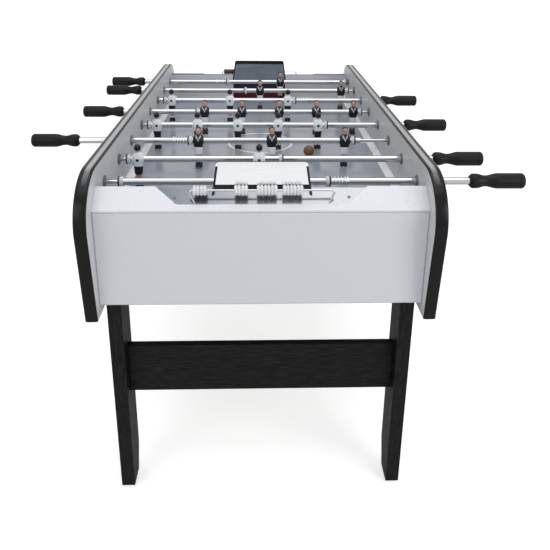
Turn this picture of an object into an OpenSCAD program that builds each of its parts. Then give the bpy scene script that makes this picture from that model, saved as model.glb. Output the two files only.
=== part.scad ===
// Foosball table with eight telescopic rods, in millimetres.
// The origin is on the floor under the middle of the cabinet: X runs across the
// table, Y along it and Z up. Rods are numbered 1 to 8 from the -Y end.

/* [Cabinet] */
// Clear width between the side panels
field_w = 690; // [640:10:760]
// Clear length between the goal boards
field_l = 1200; // [1200:10:1320]
// Height of the rod axes above the floor
rod_z = 790; // [700:10:900]
// Thickness of a side panel
panel_t = 25; // [18:1:32]
// Height of the side panels above the rod axes
panel_rise = 54; // [35:1:80]
// Depth of the side panels below the rod axes
panel_drop = 262; // [240:2:320]
// Radius of the round nose of a side panel
nose_r = 105; // [80:1:105]
// How far the nose stands past the outer face of the end panel
nose_reach = 41; // [25:1:60]
// Inward lean of the panel ends below the nose, in degrees
nose_lean = 6; // [0:1:8]
// How far the edge strip stands proud of the panel edge
strip_h = 3; // [2:0.5:5]
// How far the edge strip stands past the outer face of the panel
strip_lip = 1.5; // [0.5:0.5:3]

/* [Ends] */
// Thickness of a goal board
board_t = 10; // [6:1:12]
// Clear depth between a goal board and its end panel
chute_w = 20; // [16:1:30]
// Thickness of an end panel
end_t = 13; // [10:1:18]
// Depth of the end panels below the rod axes
end_drop = 238; // [220:2:280]
// Height of the inner edge of the sloping end top above the rod axes
top_inner_z = 19; // [14:1:24]
// Depth of the outer edge of the sloping end top below the rod axes
top_outer_z = 18; // [14:1:26]
// Thickness of the sloping end top
top_t = 3; // [2:0.5:4]
// Thickness of the steel plate under the end top
plate_t = 1.5; // [1:0.5:2]
// Width of the opening in the end top at its inner edge
window_w = 442; // [400:2:500]
// Width of the opening in the end top at its outer edge
window_low_w = 366; // [320:2:390]
// Width left of the end top outside that opening, along the slope
window_rim = 15; // [10:1:18]

/* [Goals] */
// Width of the goal mouth
goal_w = 206; // [180:2:230]
// Height of the underside of the hood above the playing field
goal_h = 61; // [56:1:66]
// Height of the hood above the rod axes
hood_rise = 70; // [60:1:80]
// Width of the hood at its top
hood_top_w = 190; // [176:2:210]
// Width of the hood at its foot
hood_foot_w = 214; // [210:2:230]
// Radius of the top corners of the hood
hood_corner_r = 8; // [4:1:16]
// Thickness of the hood sheet
hood_t = 2; // [1.5:0.5:3]
// Width of the black rim round the hood
cheek_t = 4; // [3:1:8]
// Width of the black band along the top of the hood, on the side of the field
hood_band = 13; // [6:1:20]
// Angle by which the hood leans in over the playing field
hood_lean = 10; // [4:1:12]
// Height of the lower edge of the hood sheet above the steel plate
sheet_gap = 8; // [5:1:14]
// Depth of the goal frame, hood sheet included
frame_d = 5; // [5:0.5:8]
// Distance from the goal board to the end of the playing field at the goal
sill_w = 12; // [10:1:20]
// Depth of the goal pocket below the playing field
pocket_drop = 22; // [18:1:40]
// Wall of the goal pocket
pocket_t = 2; // [1.5:0.5:3]

/* [Score counters] */
// Diameter of the score wire
wire_d = 4; // [3:0.5:5]
// Length of the straight part of the score wire
wire_l = 296; // [280:2:340]
// Height of the score wire above the rod axes
wire_z = 20; // [18:1:28]
// Diameter of a score bead
bead_d = 22; // [18:1:24]
// Length of a score bead
bead_l = 14; // [10:1:16]
// Radius of the bends of the score wire
wire_bend = 6; // [4:1:8]
// Angle by which the legs of the score wire lean in under it
wire_splay = 25; // [0:1:30]
// Distance from the score wire to the outer face of the end panel
wire_in = 17; // [16:1:18]

/* [Playing field] */
// Depth of the playing field below the rod axes
field_drop = 78; // [78:1:90]
// Thickness of the playing field
field_t = 8; // [5:1:12]
// Width of the white corner strips along the field
ramp_w = 18; // [10:1:24]
// Height of the white corner strips
ramp_h = 9; // [5:1:14]
// Diameter of the centre circle
circle_d = 200; // [140:5:220]
// Width of the field markings
line_w = 7; // [4:1:10]
// Diameter of the ball
ball_d = 31; // [29:1:36]
// Place of the ball across the field
ball_x = 139; // [120:1:150]
// Place of the ball along the field
ball_y = -126; // [-130:1:-115]

/* [Rods] */
// Distance between neighbouring rods
rod_pitch = 150; // [150:1:156]
// Outer diameter of the sliding tube
tube_d = 16; // [14:0.5:18]
// Wall of the sliding tube
tube_wall = 1.5; // [1:0.5:2]
// Diameter of the inner rod
inner_d = 8.5; // [7:0.5:10]
// Radial running clearance of rods in bushes
run_gap = 0.05; // [0.02:0.01:0.1]
// Gap left between a rod's stop and the wall at the end of its travel
stop_gap = 1.5; // [1:0.5:4]
// Travel of a goalkeeper each way from the middle
keeper_travel = 82; // [76:2:100]
// Length of the tube inside a handle
tube_in_handle = 96; // [60:1:110]
// Distance from the middle of the table to the tip of an inner rod
tip_u = 80; // [60:1:120]
// Place of the collar on the handle side of a goalkeeper
keeper_collar = 197; // [180:1:220]
// Gap between the outer defender and the collar on the handle side
pair_collar = 48; // [20:1:60]
// Length of tube that stands out past the stop of an attackers' rod
trio_run = 14; // [10:1:26]
// Place of rod 1 at rest, in percent of its travel towards +X
rest_1 = -68; // [-100:1:80]
// Place of rod 2 at rest, in percent of its travel towards +X
rest_2 = -92; // [-100:1:80]
// Place of rod 3 at rest, in percent of its travel towards +X
rest_3 = 29; // [-60:1:100]
// Place of rod 4 at rest, in percent of its travel towards +X
rest_4 = -84; // [-100:1:100]
// Place of rod 5 at rest, in percent of its travel towards +X
rest_5 = 77; // [-100:1:100]
// Place of rod 6 at rest, in percent of its travel towards +X
rest_6 = -99; // [-100:1:60]
// Place of rod 7 at rest, in percent of its travel towards +X
rest_7 = 90; // [-80:1:100]
// Place of rod 8 at rest, in percent of its travel towards +X
rest_8 = 98; // [-80:1:100]

/* [Men] */
// Distance between the two defenders
gap_of_2 = 294; // [280:2:310]
// Distance between neighbouring attackers
gap_of_3 = 196; // [180:1:210]
// Distance between neighbouring midfielders
gap_of_5 = 117; // [100:1:122]
// Width of a man at the shoulders
man_w = 29; // [24:1:32]
// Thickness of a man at the rod
man_d = 25; // [22:1:28]
// Distance from the rod axis to the sole
foot_drop = 72.5; // [66:0.5:73]
// Distance from the rod axis to the centre of the head
head_z = 27.5; // [24:0.5:30]
// Diameter of the head
head_d = 16; // [14:1:20]

/* [Bumpers and springs] */
// Diameter of a white collar
collar_d = 24; // [21:1:28]
// Length of a white collar
collar_l = 8; // [6:1:12]
// Diameter of a rubber disc
disc_d = 25; // [22:1:30]
// Thickness of a rubber disc
disc_t = 3; // [2:0.5:5]
// Length of a buffer spring
spring_l = 38; // [30:1:46]
// Diameter of the spring wire
spring_wire = 2; // [1.5:0.5:2.5]
// Turns of a buffer spring
spring_turns = 5; // [4:1:7]

/* [Handles] */
// Length of a handle
handle_l = 124; // [110:2:140]
// Diameter of the handle barrel
handle_d = 35; // [30:1:38]
// Diameter of the handle waist
waist_d = 25; // [22:1:28]
// Gap between handle and side panel when the rod is pushed in
handle_gap = 38; // [30:1:60]
// The same gap for the goalkeepers' handles
keeper_gap = 66; // [30:1:80]

/* [Bearings] */
// Diameter of the bearing sleeve in the panel
sleeve_d = 22; // [20:1:26]
// Diameter of the bearing flange
flange_d = 29; // [27:1:34]
// Thickness of the bearing flange
flange_t = 3.5; // [2:0.5:5]

/* [Legs] */
// Thickness of a leg post across the table
post_w = 32; // [25:1:45]
// Depth of a leg post along the table
post_d = 75; // [60:1:90]
// Gap between a leg post and the goal board
post_back = 8; // [2:1:30]
// Height of the lower edge of the cross board above the floor
cross_z = 268; // [200:2:320]
// Height of the cross board
cross_h = 126; // [100:2:150]
// Thickness of the cross board
cross_t = 18; // [15:1:25]
// Diameter of a foot glide
glide_d = 26; // [20:1:32]
// Height of a foot glide
glide_h = 7; // [5:1:15]

/* [Hidden] */
$fn = 48;

// Cabinet
half_w = field_w / 2;
half_l = field_l / 2;
side_out = half_w + panel_t;
chute_in = half_l + board_t;
end_in = chute_in + chute_w;
end_out = end_in + end_t;
field_z = rod_z - field_drop;
field_low = field_z - field_t;
nose_y = end_out + nose_reach - nose_r;
nose_z = rod_z + panel_rise - nose_r;
panel_low = rod_z - panel_drop;

// Sloping end tops: heights at a distance v from the middle of the table
top_slope = (top_inner_z + top_outer_z) / (end_out - half_l);
top_angle = atan(top_slope);
function top_z(v) = rod_z + top_inner_z - (v - half_l) * top_slope;
cover_dz = top_t / cos(top_angle);
plate_dz = plate_t / cos(top_angle);
function cover_z(v) = top_z(v) - cover_dz;
function plate_z(v) = cover_z(v) - plate_dz;

// Goals
mouth_top = field_z + goal_h;
bead_play = 1;
hood_top = rod_z + hood_rise;
pocket_low = field_z - pocket_drop;
hood_pivot = cover_z(half_l);
sheet_low = hood_pivot + sheet_gap;
frame_fit = 0.2;
hood_flank = (hood_foot_w - hood_top_w) / 2 / (hood_top - mouth_top);
sill_in = half_l - sill_w;
board_low = pocket_low - 12;
wire_r = wire_d / 2;
wire_y = end_out - wire_in;

// Rods
tube_r = tube_d / 2;
bore_r = tube_r - tube_wall;
inner_r = inner_d / 2;
men_count = [1, 2, 3, 5, 5, 3, 2, 1];
handle_at = [1, 1, -1, 1, -1, 1, -1, -1];
faces_away = [1, 1, 0, 1, 0, 1, 0, 0];
man_gaps = [0, gap_of_2, gap_of_3, 0, gap_of_5];
function count(i) = men_count[i - 1];
function side(i) = handle_at[i - 1];
function rod_y(i) = (i - 4.5) * rod_pitch;
function gap(i) = man_gaps[count(i) - 1];
function half_span(i) = gap(i) * (count(i) - 1) / 2;
stop_w = collar_l + disc_t;
man_play = 2.5;
wall_reach = half_w - flange_t - stop_gap;
// Distance from a rod's middle to its far stop and to its open end, and its travel that way
function tube_run(i) = count(i) == 3 ? trio_run : 0;
function far_stop(i) = count(i) == 1
    ? wall_reach - keeper_travel
    : half_span(i) + man_w / 2 + man_play + stop_w;
function open_end(i) = far_stop(i) + tube_run(i);
function travel(i) = wall_reach - open_end(i);
rest_place = [rest_1, rest_2, rest_3, rest_4, rest_5, rest_6, rest_7, rest_8];
function rod_x(i) = rest_place[i - 1] / 100 * travel(i);
// Place of the collar on the handle side of the men
function handle_collar(i) = count(i) == 1
    ? keeper_collar
    : half_span(i) + (count(i) == 2 ? pair_collar : man_w / 2 + man_play);
function has_spring(i) = count(i) == 1 || count(i) == 3;
function handle_u(i) = side_out + travel(i) + (count(i) == 1 ? keeper_gap : handle_gap);
spring_play = 0.4;
disc_play = 0.5;

// Inner rods: place of the head in the closed bearing, and of the tip in the tube
cap_t = 3;
head_l = 4;
head_play = 0.5;
head_r = inner_r + 2;
head_out = side_out - 1;
slider_l = 16;
bush_l = 22;

// Men
boss_r = man_d / 2;
screw_r = 3.4;

// Legs
post_out = half_w;
post_in = post_out - post_w;
post_far = half_l - post_back;
post_near = post_far - post_d;
bolt_d = 8;
bolt_play = 0.5;
bolt_head_r = 10;
bolt_rows = [-112, -196];
bottom_t = 6;
bottom_up = 8;

// Points of an arc of radius r about [x, y] from angle a to angle b
function arc(x, y, r, a, b, n = 16) =
    [for (k = [0:n]) [x + r * cos(a + (b - a) * k / n), y + r * sin(a + (b - a) * k / n)]];

// The list with its first coordinate negated and its order reversed
function mirrored(points) = [for (k = [len(points) - 1:-1:0]) [-points[k][0], points[k][1]]];

// Half of a side panel's outline, grown outwards by g: flat top, round nose, leaning end
function half_outline(g, low) =
    let (tip = [nose_y + (nose_r + g) * cos(nose_lean), nose_z - (nose_r + g) * sin(nose_lean)])
    concat(
        arc(nose_y, nose_z, nose_r + g, 90, -nose_lean, 28),
        [[tip[0] - (tip[1] - low) * tan(nose_lean), low]]
    );
function panel_outline(g, low = panel_low) =
    concat(half_outline(g, low), mirrored(half_outline(g, low)));

// Extrudes a (Y, Z) outline along +X from x = 0
module along_x(length) {
    rotate([90, 0, 90]) linear_extrude(length) children();
}

// A cylinder along +X from x = 0
module bar_x(r, length) {
    rotate([0, 90, 0]) cylinder(r = r, h = length);
}

// Places its children at the right side and, mirrored, at the left
module both_sides() {
    children();
    mirror([1, 0, 0]) children();
}

// Places its children, drawn for the far end, at the far end and turned at the near end
module both_ends() {
    children();
    rotate([0, 0, 180]) children();
}

// The middle of rod i at rest, with +X towards its handle
module at_rod(i) {
    translate([rod_x(i), rod_y(i), rod_z])
        mirror([side(i) < 0 ? 1 : 0, 0, 0])
            children();
}

// Where the inner face of the panel on the handle side, or on the other side, meets rod i
module at_bearing(i, dir) {
    translate([0, rod_y(i), rod_z])
        mirror([side(i) * dir < 0 ? 1 : 0, 0, 0])
            translate([half_w, 0, 0])
                children();
}

// ---- Cabinet ----

module side_panel() {
    difference() {
        translate([half_w, 0, 0]) along_x(panel_t) polygon(panel_outline(0));
        for (i = [1:8])
            translate([half_w - 1, rod_y(i), rod_z]) bar_x(sleeve_d / 2, panel_t + 2);
        for_bolts() translate([half_w - 1, 0, 0]) bar_x((bolt_d + bolt_play) / 2, panel_t + 2);
    }
}

// Edge strip: a band along the panel's top and ends, crowned in three steps
module side_trim() {
    lip_w = 2.5;
    steps = 3;
    width = panel_t + strip_lip;
    for (k = [0:steps - 1]) {
        inset = width / 2 * (1 - cos(80 * k / (steps - 1))) * 0.35;
        translate([half_w + inset, 0, 0])
            along_x(width - 2 * inset)
                difference() {
                    polygon(panel_outline(strip_h * (k + 1) / steps));
                    polygon(panel_outline(strip_h * k / steps, panel_low - 2));
                }
    }
    // Lip that laps over the outer face of the panel
    translate([side_out, 0, 0])
        along_x(strip_lip)
            difference() {
                polygon(panel_outline(0));
                polygon(panel_outline(-lip_w, panel_low - 2));
            }
}

// A board's section seen along the table, chamfered on its outer long edges
module end_panel() {
    chamfer = 4;
    low = rod_z - end_drop;
    intersection() {
        translate([-half_w, 0, 0])
            along_x(field_w)
                polygon([
                    [end_in, low],
                    [end_out - chamfer, low],
                    [end_out, low + chamfer],
                    [end_out, plate_z(end_out)],
                    [end_in, plate_z(end_in)]
                ]);
        translate([0, 0, low])
            linear_extrude(end_drop + top_inner_z)
                polygon([
                    [-half_w, end_in],
                    [-half_w, end_out - chamfer / 2],
                    [-half_w + chamfer / 2, end_out],
                    [half_w - chamfer / 2, end_out],
                    [half_w, end_out - chamfer / 2],
                    [half_w, end_in]
                ]);
    }
}

// The slope's own plane: x across, y down the slope from its inner edge, z out of it
module on_slope() {
    translate([0, half_l, top_z(half_l)])
        rotate([-top_angle, 0, 0])
            children();
}
slope_l = (end_out - half_l) / cos(top_angle);

// Opening in an end top, with round lower corners
module window() {
    low = slope_l - window_rim;
    corner = 12;
    corner_x = window_low_w / 2 - corner;
    polygon(concat(
        [[-window_w / 2, -20], [-window_w / 2, 0]],
        mirrored(arc(corner_x, low - corner, corner, 90, 30, 8)),
        arc(corner_x, low - corner, corner, 90, 30, 8),
        [[window_w / 2, 0], [window_w / 2, -20]]
    ));
}

module end_top() {
    difference() {
        translate([-half_w, 0, 0])
            along_x(field_w)
                polygon([
                    [half_l, top_z(half_l)],
                    [end_out, top_z(end_out)],
                    [end_out, cover_z(end_out)],
                    [half_l, cover_z(half_l)]
                ]);
        on_slope() translate([0, 0, -10]) linear_extrude(20) window();
    }
}

module end_plate() {
    edge = 2;
    difference() {
        translate([-half_w, 0, 0])
            along_x(field_w)
                polygon([
                    [half_l, cover_z(half_l)],
                    [end_out - edge, cover_z(end_out - edge)],
                    [end_out - edge, plate_z(end_out - edge)],
                    [half_l, plate_z(half_l)]
                ]);
        // Room for the goal frame
        hood_slice(-1, frame_d + frame_fit, mouth_top, hood_top)
            hood_outline(-frame_fit, mouth_top);
    }
}

// Outline of the goal frame in (X, Z): slanting sides and round top corners
module hood_outline(inset = 0, low = mouth_top) {
    top = hood_top - inset;
    r = max(hood_corner_r - inset, 0.5);
    w = hood_top_w / 2 - inset;
    foot = hood_top_w / 2 + hood_flank * (hood_top - low) - inset;
    right = concat([[foot, low]], arc(w - r + hood_flank * r, top - r, r, 0, 90, 8));
    polygon(concat(right, mirrored(right)));
}

// Goal board, with the sill at its foot that the playing field butts against
module goal_board() {
    difference() {
        translate([-half_w, 0, 0])
            along_x(field_w)
                polygon([
                    [half_l, board_low],
                    [chute_in, board_low],
                    [chute_in, plate_z(chute_in)],
                    [half_l, plate_z(half_l)],
                    [half_l, field_z],
                    [sill_in, field_z],
                    [sill_in, field_low],
                    [half_l, field_low]
                ]);
        translate([-goal_w / 2, sill_in - 1, pocket_low - pocket_t])
            cube([goal_w, sill_w + board_t + 2, mouth_top - pocket_low + pocket_t + 1]);
        translate([0, chute_in + 1, 0])
            rotate([90, 0, 0])
                linear_extrude(board_t + 2)
                    hood_outline();
    }
}

// Distance from the middle of the table to the hood's front face at the height z
function hood_y(z) = half_l - max(0, z - hood_pivot) * tan(hood_lean);

// An outline in X and Z pushed out along the table, on both sides of the goal board's face
module hood_block(reach) {
    translate([0, half_l + reach, 0])
        rotate([90, 0, 0])
            linear_extrude(2 * reach)
                children();
}

// Slice of the hood's outline, from a to b behind its leaning front face
module hood_slice(a, b, from, to) {
    heights = from < hood_pivot ? [from, hood_pivot, to] : [from, to];
    front = [for (z = heights) [hood_y(z) + a, z]];
    back = [for (k = [len(heights) - 1:-1:0]) [hood_y(heights[k]) + b, heights[k]]];
    intersection() {
        hood_block(4 * frame_d) children();
        translate([-hood_foot_w, 0, 0]) along_x(2 * hood_foot_w) polygon(concat(front, back));
    }
}

// Black moulding over the mouth: a dark panel inside a raised rim, its foot in the goal board
module goal_frame() {
    recess = 1;
    over = hood_top + 1;
    difference() {
        hood_slice(0, frame_d, mouth_top, over) hood_outline();
        hood_slice(-1, recess, mouth_top - 1, over)
            intersection() {
                hood_outline(cheek_t, mouth_top - 1);
                translate([-hood_foot_w, 0]) square([2 * hood_foot_w, hood_top - hood_band]);
            }
        // Seat of the bright sheet
        hood_slice(frame_d - hood_t, frame_d + 1, sheet_low, over) hood_outline(cheek_t, sheet_low);
    }
    // Foot that fills the thickness of the goal board under the steel plate
    foot_w = hood_foot_w - 2 * cheek_t;
    foot_in = half_l + frame_d - 1;
    translate([-foot_w / 2, 0, 0])
        along_x(foot_w)
            polygon([
                [foot_in, mouth_top],
                [chute_in, mouth_top],
                [chute_in, plate_z(chute_in)],
                [foot_in, plate_z(foot_in)]
            ]);
    hood_cheeks();
}

// Gussets that sweep from the rim out over the steel plate, short of the beads
module hood_cheeks() {
    back = half_l + frame_d;
    reach = wire_y - bead_d / 2 - bead_play - back;
    rise = 14;
    lift = 0.4;
    foot = cover_z(back) + lift;
    tip = foot + 2 * rise;
    intersection() {
        hood_block(back + reach - half_l + 1)
            difference() {
                hood_outline();
                hood_outline(cheek_t, mouth_top - 1);
            }
        translate([-hood_foot_w, 0, 0])
            along_x(2 * hood_foot_w)
                polygon(concat(
                    [[hood_y(tip) + frame_d - 1, tip], [hood_y(tip) + frame_d, tip]],
                    arc(back + reach, foot + rise, reach, 180, 270, 8),
                    [[back + reach, cover_z(back + reach) + lift], [back - 1, cover_z(back - 1) + lift]]
                ));
    }
}

// Bright sheet that lies on the back of the dark panel, inside the rim
module goal_hood() {
    hood_slice(frame_d - hood_t, frame_d, sheet_low + frame_fit, hood_top)
        hood_outline(cheek_t + frame_fit, sheet_low + frame_fit);
}

// Tray behind the goal mouth and the rubber pad on its back wall
module goal_pocket() {
    pad_t = 2;
    pad_h = 48;
    low = pocket_low - pocket_t;
    translate([-goal_w / 2, 0, 0])
        difference() {
            translate([0, sill_in, low])
                cube([goal_w, end_in - sill_in, cover_z(end_in) - plate_dz - low]);
            translate([pocket_t, sill_in + pocket_t, pocket_low])
                cube([goal_w - 2 * pocket_t, end_in - sill_in - 2 * pocket_t, field_drop + pocket_drop]);
            // The tray is open towards the field and under the goal board
            translate([-1, sill_in - 1, field_low])
                cube([goal_w + 2, chute_in - sill_in + 1, field_drop + field_t]);
        }
    color("maroon")
        translate([-goal_w / 2 + pocket_t, end_in - pocket_t - pad_t, pocket_low])
            cube([goal_w - 2 * pocket_t, pad_t, pad_h]);
}

// ---- Score counters ----

// Wire bent down at both ends, through the steel plate
module score_wire() {
    half = wire_l / 2;
    leg = (wire_z - wire_bend + 16) / cos(wire_splay);
    translate([-half + wire_bend, wire_y, rod_z + wire_z])
        bar_x(wire_r, wire_l - 2 * wire_bend);
    both_sides()
        translate([half - wire_bend, wire_y, rod_z + wire_z - wire_bend]) {
            rotate([90, 0, 0])
                rotate([0, 0, -wire_splay])
                    rotate_extrude(angle = 90 + wire_splay)
                        translate([wire_bend, 0])
                            circle(r = wire_r);
            rotate([0, wire_splay, 0])
                translate([wire_bend, 0, -leg])
                    cylinder(r = wire_r, h = leg);
        }
}

// One bead: a barrel with two ribs on the wire, its axis along X from x = 0
module bead() {
    r = bead_d / 2;
    rim = r * 0.74;
    end = 0.2;
    bore = wire_r + run_gap;
    l = bead_l - end;
    rotate([0, 90, 0])
        rotate_extrude()
            polygon([
                [bore, end], [rim, end], [r, bead_l * 0.16], [r, bead_l * 0.34], [rim, bead_l * 0.5],
                [r, bead_l * 0.66], [r, bead_l * 0.84], [rim, l], [bore, l]
            ]);
}

// Rows of beads: the distance of each row from the left bend and its number of beads
near_rows_left = [[1, 2]];
near_rows_right = [[85, 2], [131, 3], [184, 3]];
far_rows_left = [[1, 3]];
far_rows_right = [[98, 2], [153, 2], [189, 3]];
module beads(rows, end) {
    left = -wire_l / 2 + wire_bend;
    for (row = rows)
        for (k = [0:row[1] - 1])
            translate([left + row[0] + k * bead_l, end * wire_y, rod_z + wire_z])
                bead();
}

// ---- Playing field ----

module playing_field() {
    color([0.6, 0.61, 0.64])
        translate([-half_w, -sill_in, field_low])
            cube([field_w, 2 * sill_in, field_t]);
}

// Centre circle and halfway line, laid into the surface
module field_markings() {
    mark_t = 0.3;
    color("white") translate([0, 0, field_z]) {
        difference() {
            cylinder(d = circle_d, h = mark_t);
            translate([0, 0, -1]) cylinder(d = circle_d - 2 * line_w, h = mark_t + 2);
        }
        translate([-half_w + ramp_w, -line_w / 2, 0])
            cube([field_w - 2 * ramp_w, line_w, mark_t]);
    }
}

module field_ramp() {
    translate([half_w, half_l, field_z])
        rotate([90, 0, 0])
            linear_extrude(field_l)
                polygon([[0, 0], [0, ramp_h], [-2, ramp_h], [-ramp_w, 1], [-ramp_w, 0]]);
}

module ball() {
    clear = 0.3;
    color([0.6, 0.35, 0.15])
        translate([ball_x, ball_y, field_z + clear + ball_d / 2])
            sphere(d = ball_d, $fn = 64);
}

module cabinet_bottom() {
    play = 1;
    color([0.3, 0.3, 0.3]) difference() {
        translate([-half_w, -end_in, rod_z - end_drop + bottom_up])
            cube([field_w, 2 * end_in, bottom_t]);
        both_sides() both_ends()
            translate([post_in - play, post_near - play, 0])
                cube([post_w + 2 * play, post_d + 2 * play, rod_z]);
    }
}

// ---- Rods ----

module spring_path(r, wire, length, turns) {
    steps = turns * 14;
    sides = 6;
    ring = function (k)
        let (a = 360 * turns * k / steps, x = wire / 2 + (length - wire) * k / steps)
        [for (j = [0:sides - 1])
            let (b = 360 * j / sides, q = r + wire / 2 * cos(b))
            [x + wire / 2 * sin(b), q * cos(a), q * sin(a)]];
    points = [for (k = [0:steps]) each ring(k)];
    walls = [for (k = [0:steps - 1], j = [0:sides - 1])
        let (n = (j + 1) % sides, p = k * sides)
        [p + j, p + n, p + sides + n, p + sides + j]];
    first = [[for (j = [sides - 1:-1:0]) j]];
    last = [[for (j = [0:sides - 1]) steps * sides + j]];
    polyhedron(points, concat(walls, first, last), convexity = 10);
}

module ring_x(outer, inner, length) {
    difference() {
        bar_x(outer, length);
        translate([-1, 0, 0]) bar_x(inner, length + 2);
    }
}

// Open coil around the tube, closed off by a washer that sits on the tube
module buffer_spring() {
    washer_t = 1.5;
    play = 0.1;
    coil_l = spring_l - washer_t - 2 * play;
    translate([play, 0, 0])
        spring_path(tube_r + spring_wire / 2 + spring_play, spring_wire, coil_l, spring_turns);
    translate([spring_l - washer_t, 0, 0])
        ring_x(tube_r + spring_wire + 1.5, tube_r, washer_t);
}

// Sliding tube with its guide bush, collars, discs and spring
module rod_tube(i) {
    stop = -far_stop(i);
    capped = tube_run(i) == 0;
    mouth = capped ? stop + disc_t : -open_end(i);
    collar = handle_collar(i);
    at_rod(i) {
        color("silver")
            translate([mouth, 0, 0])
                ring_x(tube_r, bore_r, handle_u(i) + tube_in_handle - mouth);
        color("white") {
            translate([mouth, 0, 0]) ring_x(bore_r, inner_r + run_gap, bush_l);
            translate([stop + disc_t, 0, 0]) ring_x(collar_d / 2, tube_r, collar_l);
            translate([collar, 0, 0]) ring_x(collar_d / 2, tube_r, collar_l);
        }
        color("black") {
            translate([stop, 0, 0]) ring_x(disc_d / 2, capped ? inner_r + disc_play : tube_r, disc_t);
            translate([collar + collar_l, 0, 0]) ring_x(disc_d / 2, tube_r, disc_t);
        }
        if (has_spring(i))
            color("gainsboro")
                translate([collar + stop_w, 0, 0])
                    buffer_spring();
    }
}

// Thin rod that the tube slides over: it turns in the closed bearing and guides the tube
module rod_inner(i) {
    color("silver")
        translate([0, rod_y(i), rod_z])
            mirror([side(i) < 0 ? 1 : 0, 0, 0]) {
                translate([-head_out + head_l, 0, 0]) bar_x(inner_r, head_out - head_l + tip_u);
                translate([-head_out, 0, 0]) bar_x(head_r, head_l);
                translate([tip_u - slider_l, 0, 0]) bar_x(bore_r - run_gap, slider_l);
            }
}

// Revolved grip: flare, waist, barrel and round end
module rod_handle(i) {
    color([0.12, 0.12, 0.13])
        at_rod(i)
            translate([handle_u(i), 0, 0])
                difference() {
                    rotate([0, 90, 0]) rotate_extrude() handle_profile();
                    translate([-1, 0, 0]) bar_x(tube_r, tube_in_handle + 1);
                }
}

module handle_profile() {
    r = handle_d / 2;
    waist = waist_d / 2;
    flare = r * 0.95;
    end_r = 7;
    groove = 1;
    l = handle_l;
    polygon(concat(
        [[0, 0], [tube_r + 3, 0], [flare - 2, 4], [flare, 7], [flare, 13]],
        [for (k = [0:8]) let (t = k / 8) [waist + (flare - waist) * pow(cos(90 * t), 2), 15 + 21 * t]],
        [for (k = [1:8]) let (t = k / 8) [waist + (r - waist) * pow(sin(90 * t), 2), 36 + 28 * t]],
        [[r, l - 16], [r - groove, l - 15], [r - groove, l - 13], [r, l - 12]],
        arc(r - end_r, l - end_r, end_r, 0, 90, 8),
        [[0, l]]
    ));
}

// Cone between two points, for a limb
module limb(from, to, r_from, r_to) {
    run = to - from;
    translate(from)
        rotate([0, atan2(norm([run.x, run.y]), run.z), atan2(run.y, run.x)])
            cylinder(r1 = r_from, r2 = r_to, h = norm(run));
}

// Head as a turned egg, wider at the top, on its neck
module head() {
    r = head_d / 2;
    tall = r * 1.32;
    translate([0, 0, head_z])
        rotate_extrude()
            polygon(concat(
                [[0, -tall], [r * 0.42, -tall], [r * 0.62, -tall * 0.72], [r * 0.86, -tall * 0.3]],
                [for (k = [0:8]) [r * cos(90 * k / 8), tall * sin(90 * k / 8)]]
            ));
    translate([0, 0, boss_r - 1]) cylinder(r = r * 0.62, h = head_z - boss_r + 1 - tall * 0.6);
}

// One player, facing +Y, with the rod through the chest along X
module man() {
    w = man_w / 2;
    d = man_d / 2;
    low = -foot_drop;
    ankle = low + 15;
    hem = -38;
    front = [
        [w * 0.3, 18], [w * 0.66, 15.5], [w * 0.9, 11], [w * 0.95, 2], [w * 0.9, -8], [w * 0.86, -16.5],
        [w * 0.78, -17.5], [w * 0.74, -26], [w * 0.64, hem], [w * 0.56, hem - 1],
        [w * 0.5, ankle + 2], [w * 0.56, ankle - 1], [w * 0.68, low]
    ];
    side_view = [
        [d * 0.3, 18], [d * 0.72, 13], [d, 4], [d * 0.95, -8], [d * 0.8, -16.5], [d * 0.72, -17.5],
        [d * 0.78, -28], [d * 0.66, hem], [d * 0.42, hem - 2], [d * 0.3, ankle + 2],
        [d * 0.5, ankle - 1], [d * 0.8, low + 8], [d * 0.8, low],
        [-d * 0.62, low], [-d * 0.6, ankle - 1], [-d * 0.38, ankle + 2], [-d * 0.5, hem - 1], [-d * 0.7, hem],
        [-d * 0.74, -17.5], [-d * 0.8, -16.5], [-d * 0.95, -6], [-d, 4], [-d * 0.72, 13], [-d * 0.3, 18]
    ];
    hand = [w - 2.6, 3.2, -13];
    difference() {
        union() {
            intersection() {
                translate([0, d + 1, 0]) rotate([90, 0, 0]) linear_extrude(man_d + 2)
                    polygon(concat(front, mirrored(front)));
                translate([-w - 1, 0, 0]) along_x(man_w + 2) polygon(side_view);
                translate([0, 0, low - 1]) linear_extrude(foot_drop + 30) round_block(man_w, man_d);
            }
            translate([-w, 0, 0]) bar_x(boss_r * 0.8, man_w);
            head();
            both_sides() {
                limb([w - 4.4, -0.5, 12.5], [w - 2.9, 0.6, -1], 3.2, 2.7);
                limb([w - 2.9, 0.6, -1], hand, 2.6, 1.9);
                translate(hand) sphere(r = 2.4);
            }
        }
        translate([-w - 1, 0, 0]) bar_x(tube_r, man_w + 2);
        rotate([90, 0, 0]) cylinder(r = screw_r + 0.6, h = d + 2);
        // Gap between the legs, in front and behind
        for (face = [-1, 1])
            translate([0, face * (d * 0.62), ankle])
                cylinder(r = 1.6, h = hem - ankle);
    }
    // Grub screw that holds the man on the tube
    rotate([90, 0, 0])
        translate([0, 0, tube_r - 1])
            cylinder(r = screw_r, h = d - tube_r - 1);
}

// A rectangle with full round corners, as four arcs
module round_block(w, d) {
    r = d * 0.36;
    polygon(concat(
        arc(w / 2 - r, d / 2 - r, r, 0, 90, 6),
        arc(-w / 2 + r, d / 2 - r, r, 90, 180, 6),
        arc(-w / 2 + r, -d / 2 + r, r, 180, 270, 6),
        arc(w / 2 - r, -d / 2 + r, r, 270, 360, 6)
    ));
}

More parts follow.
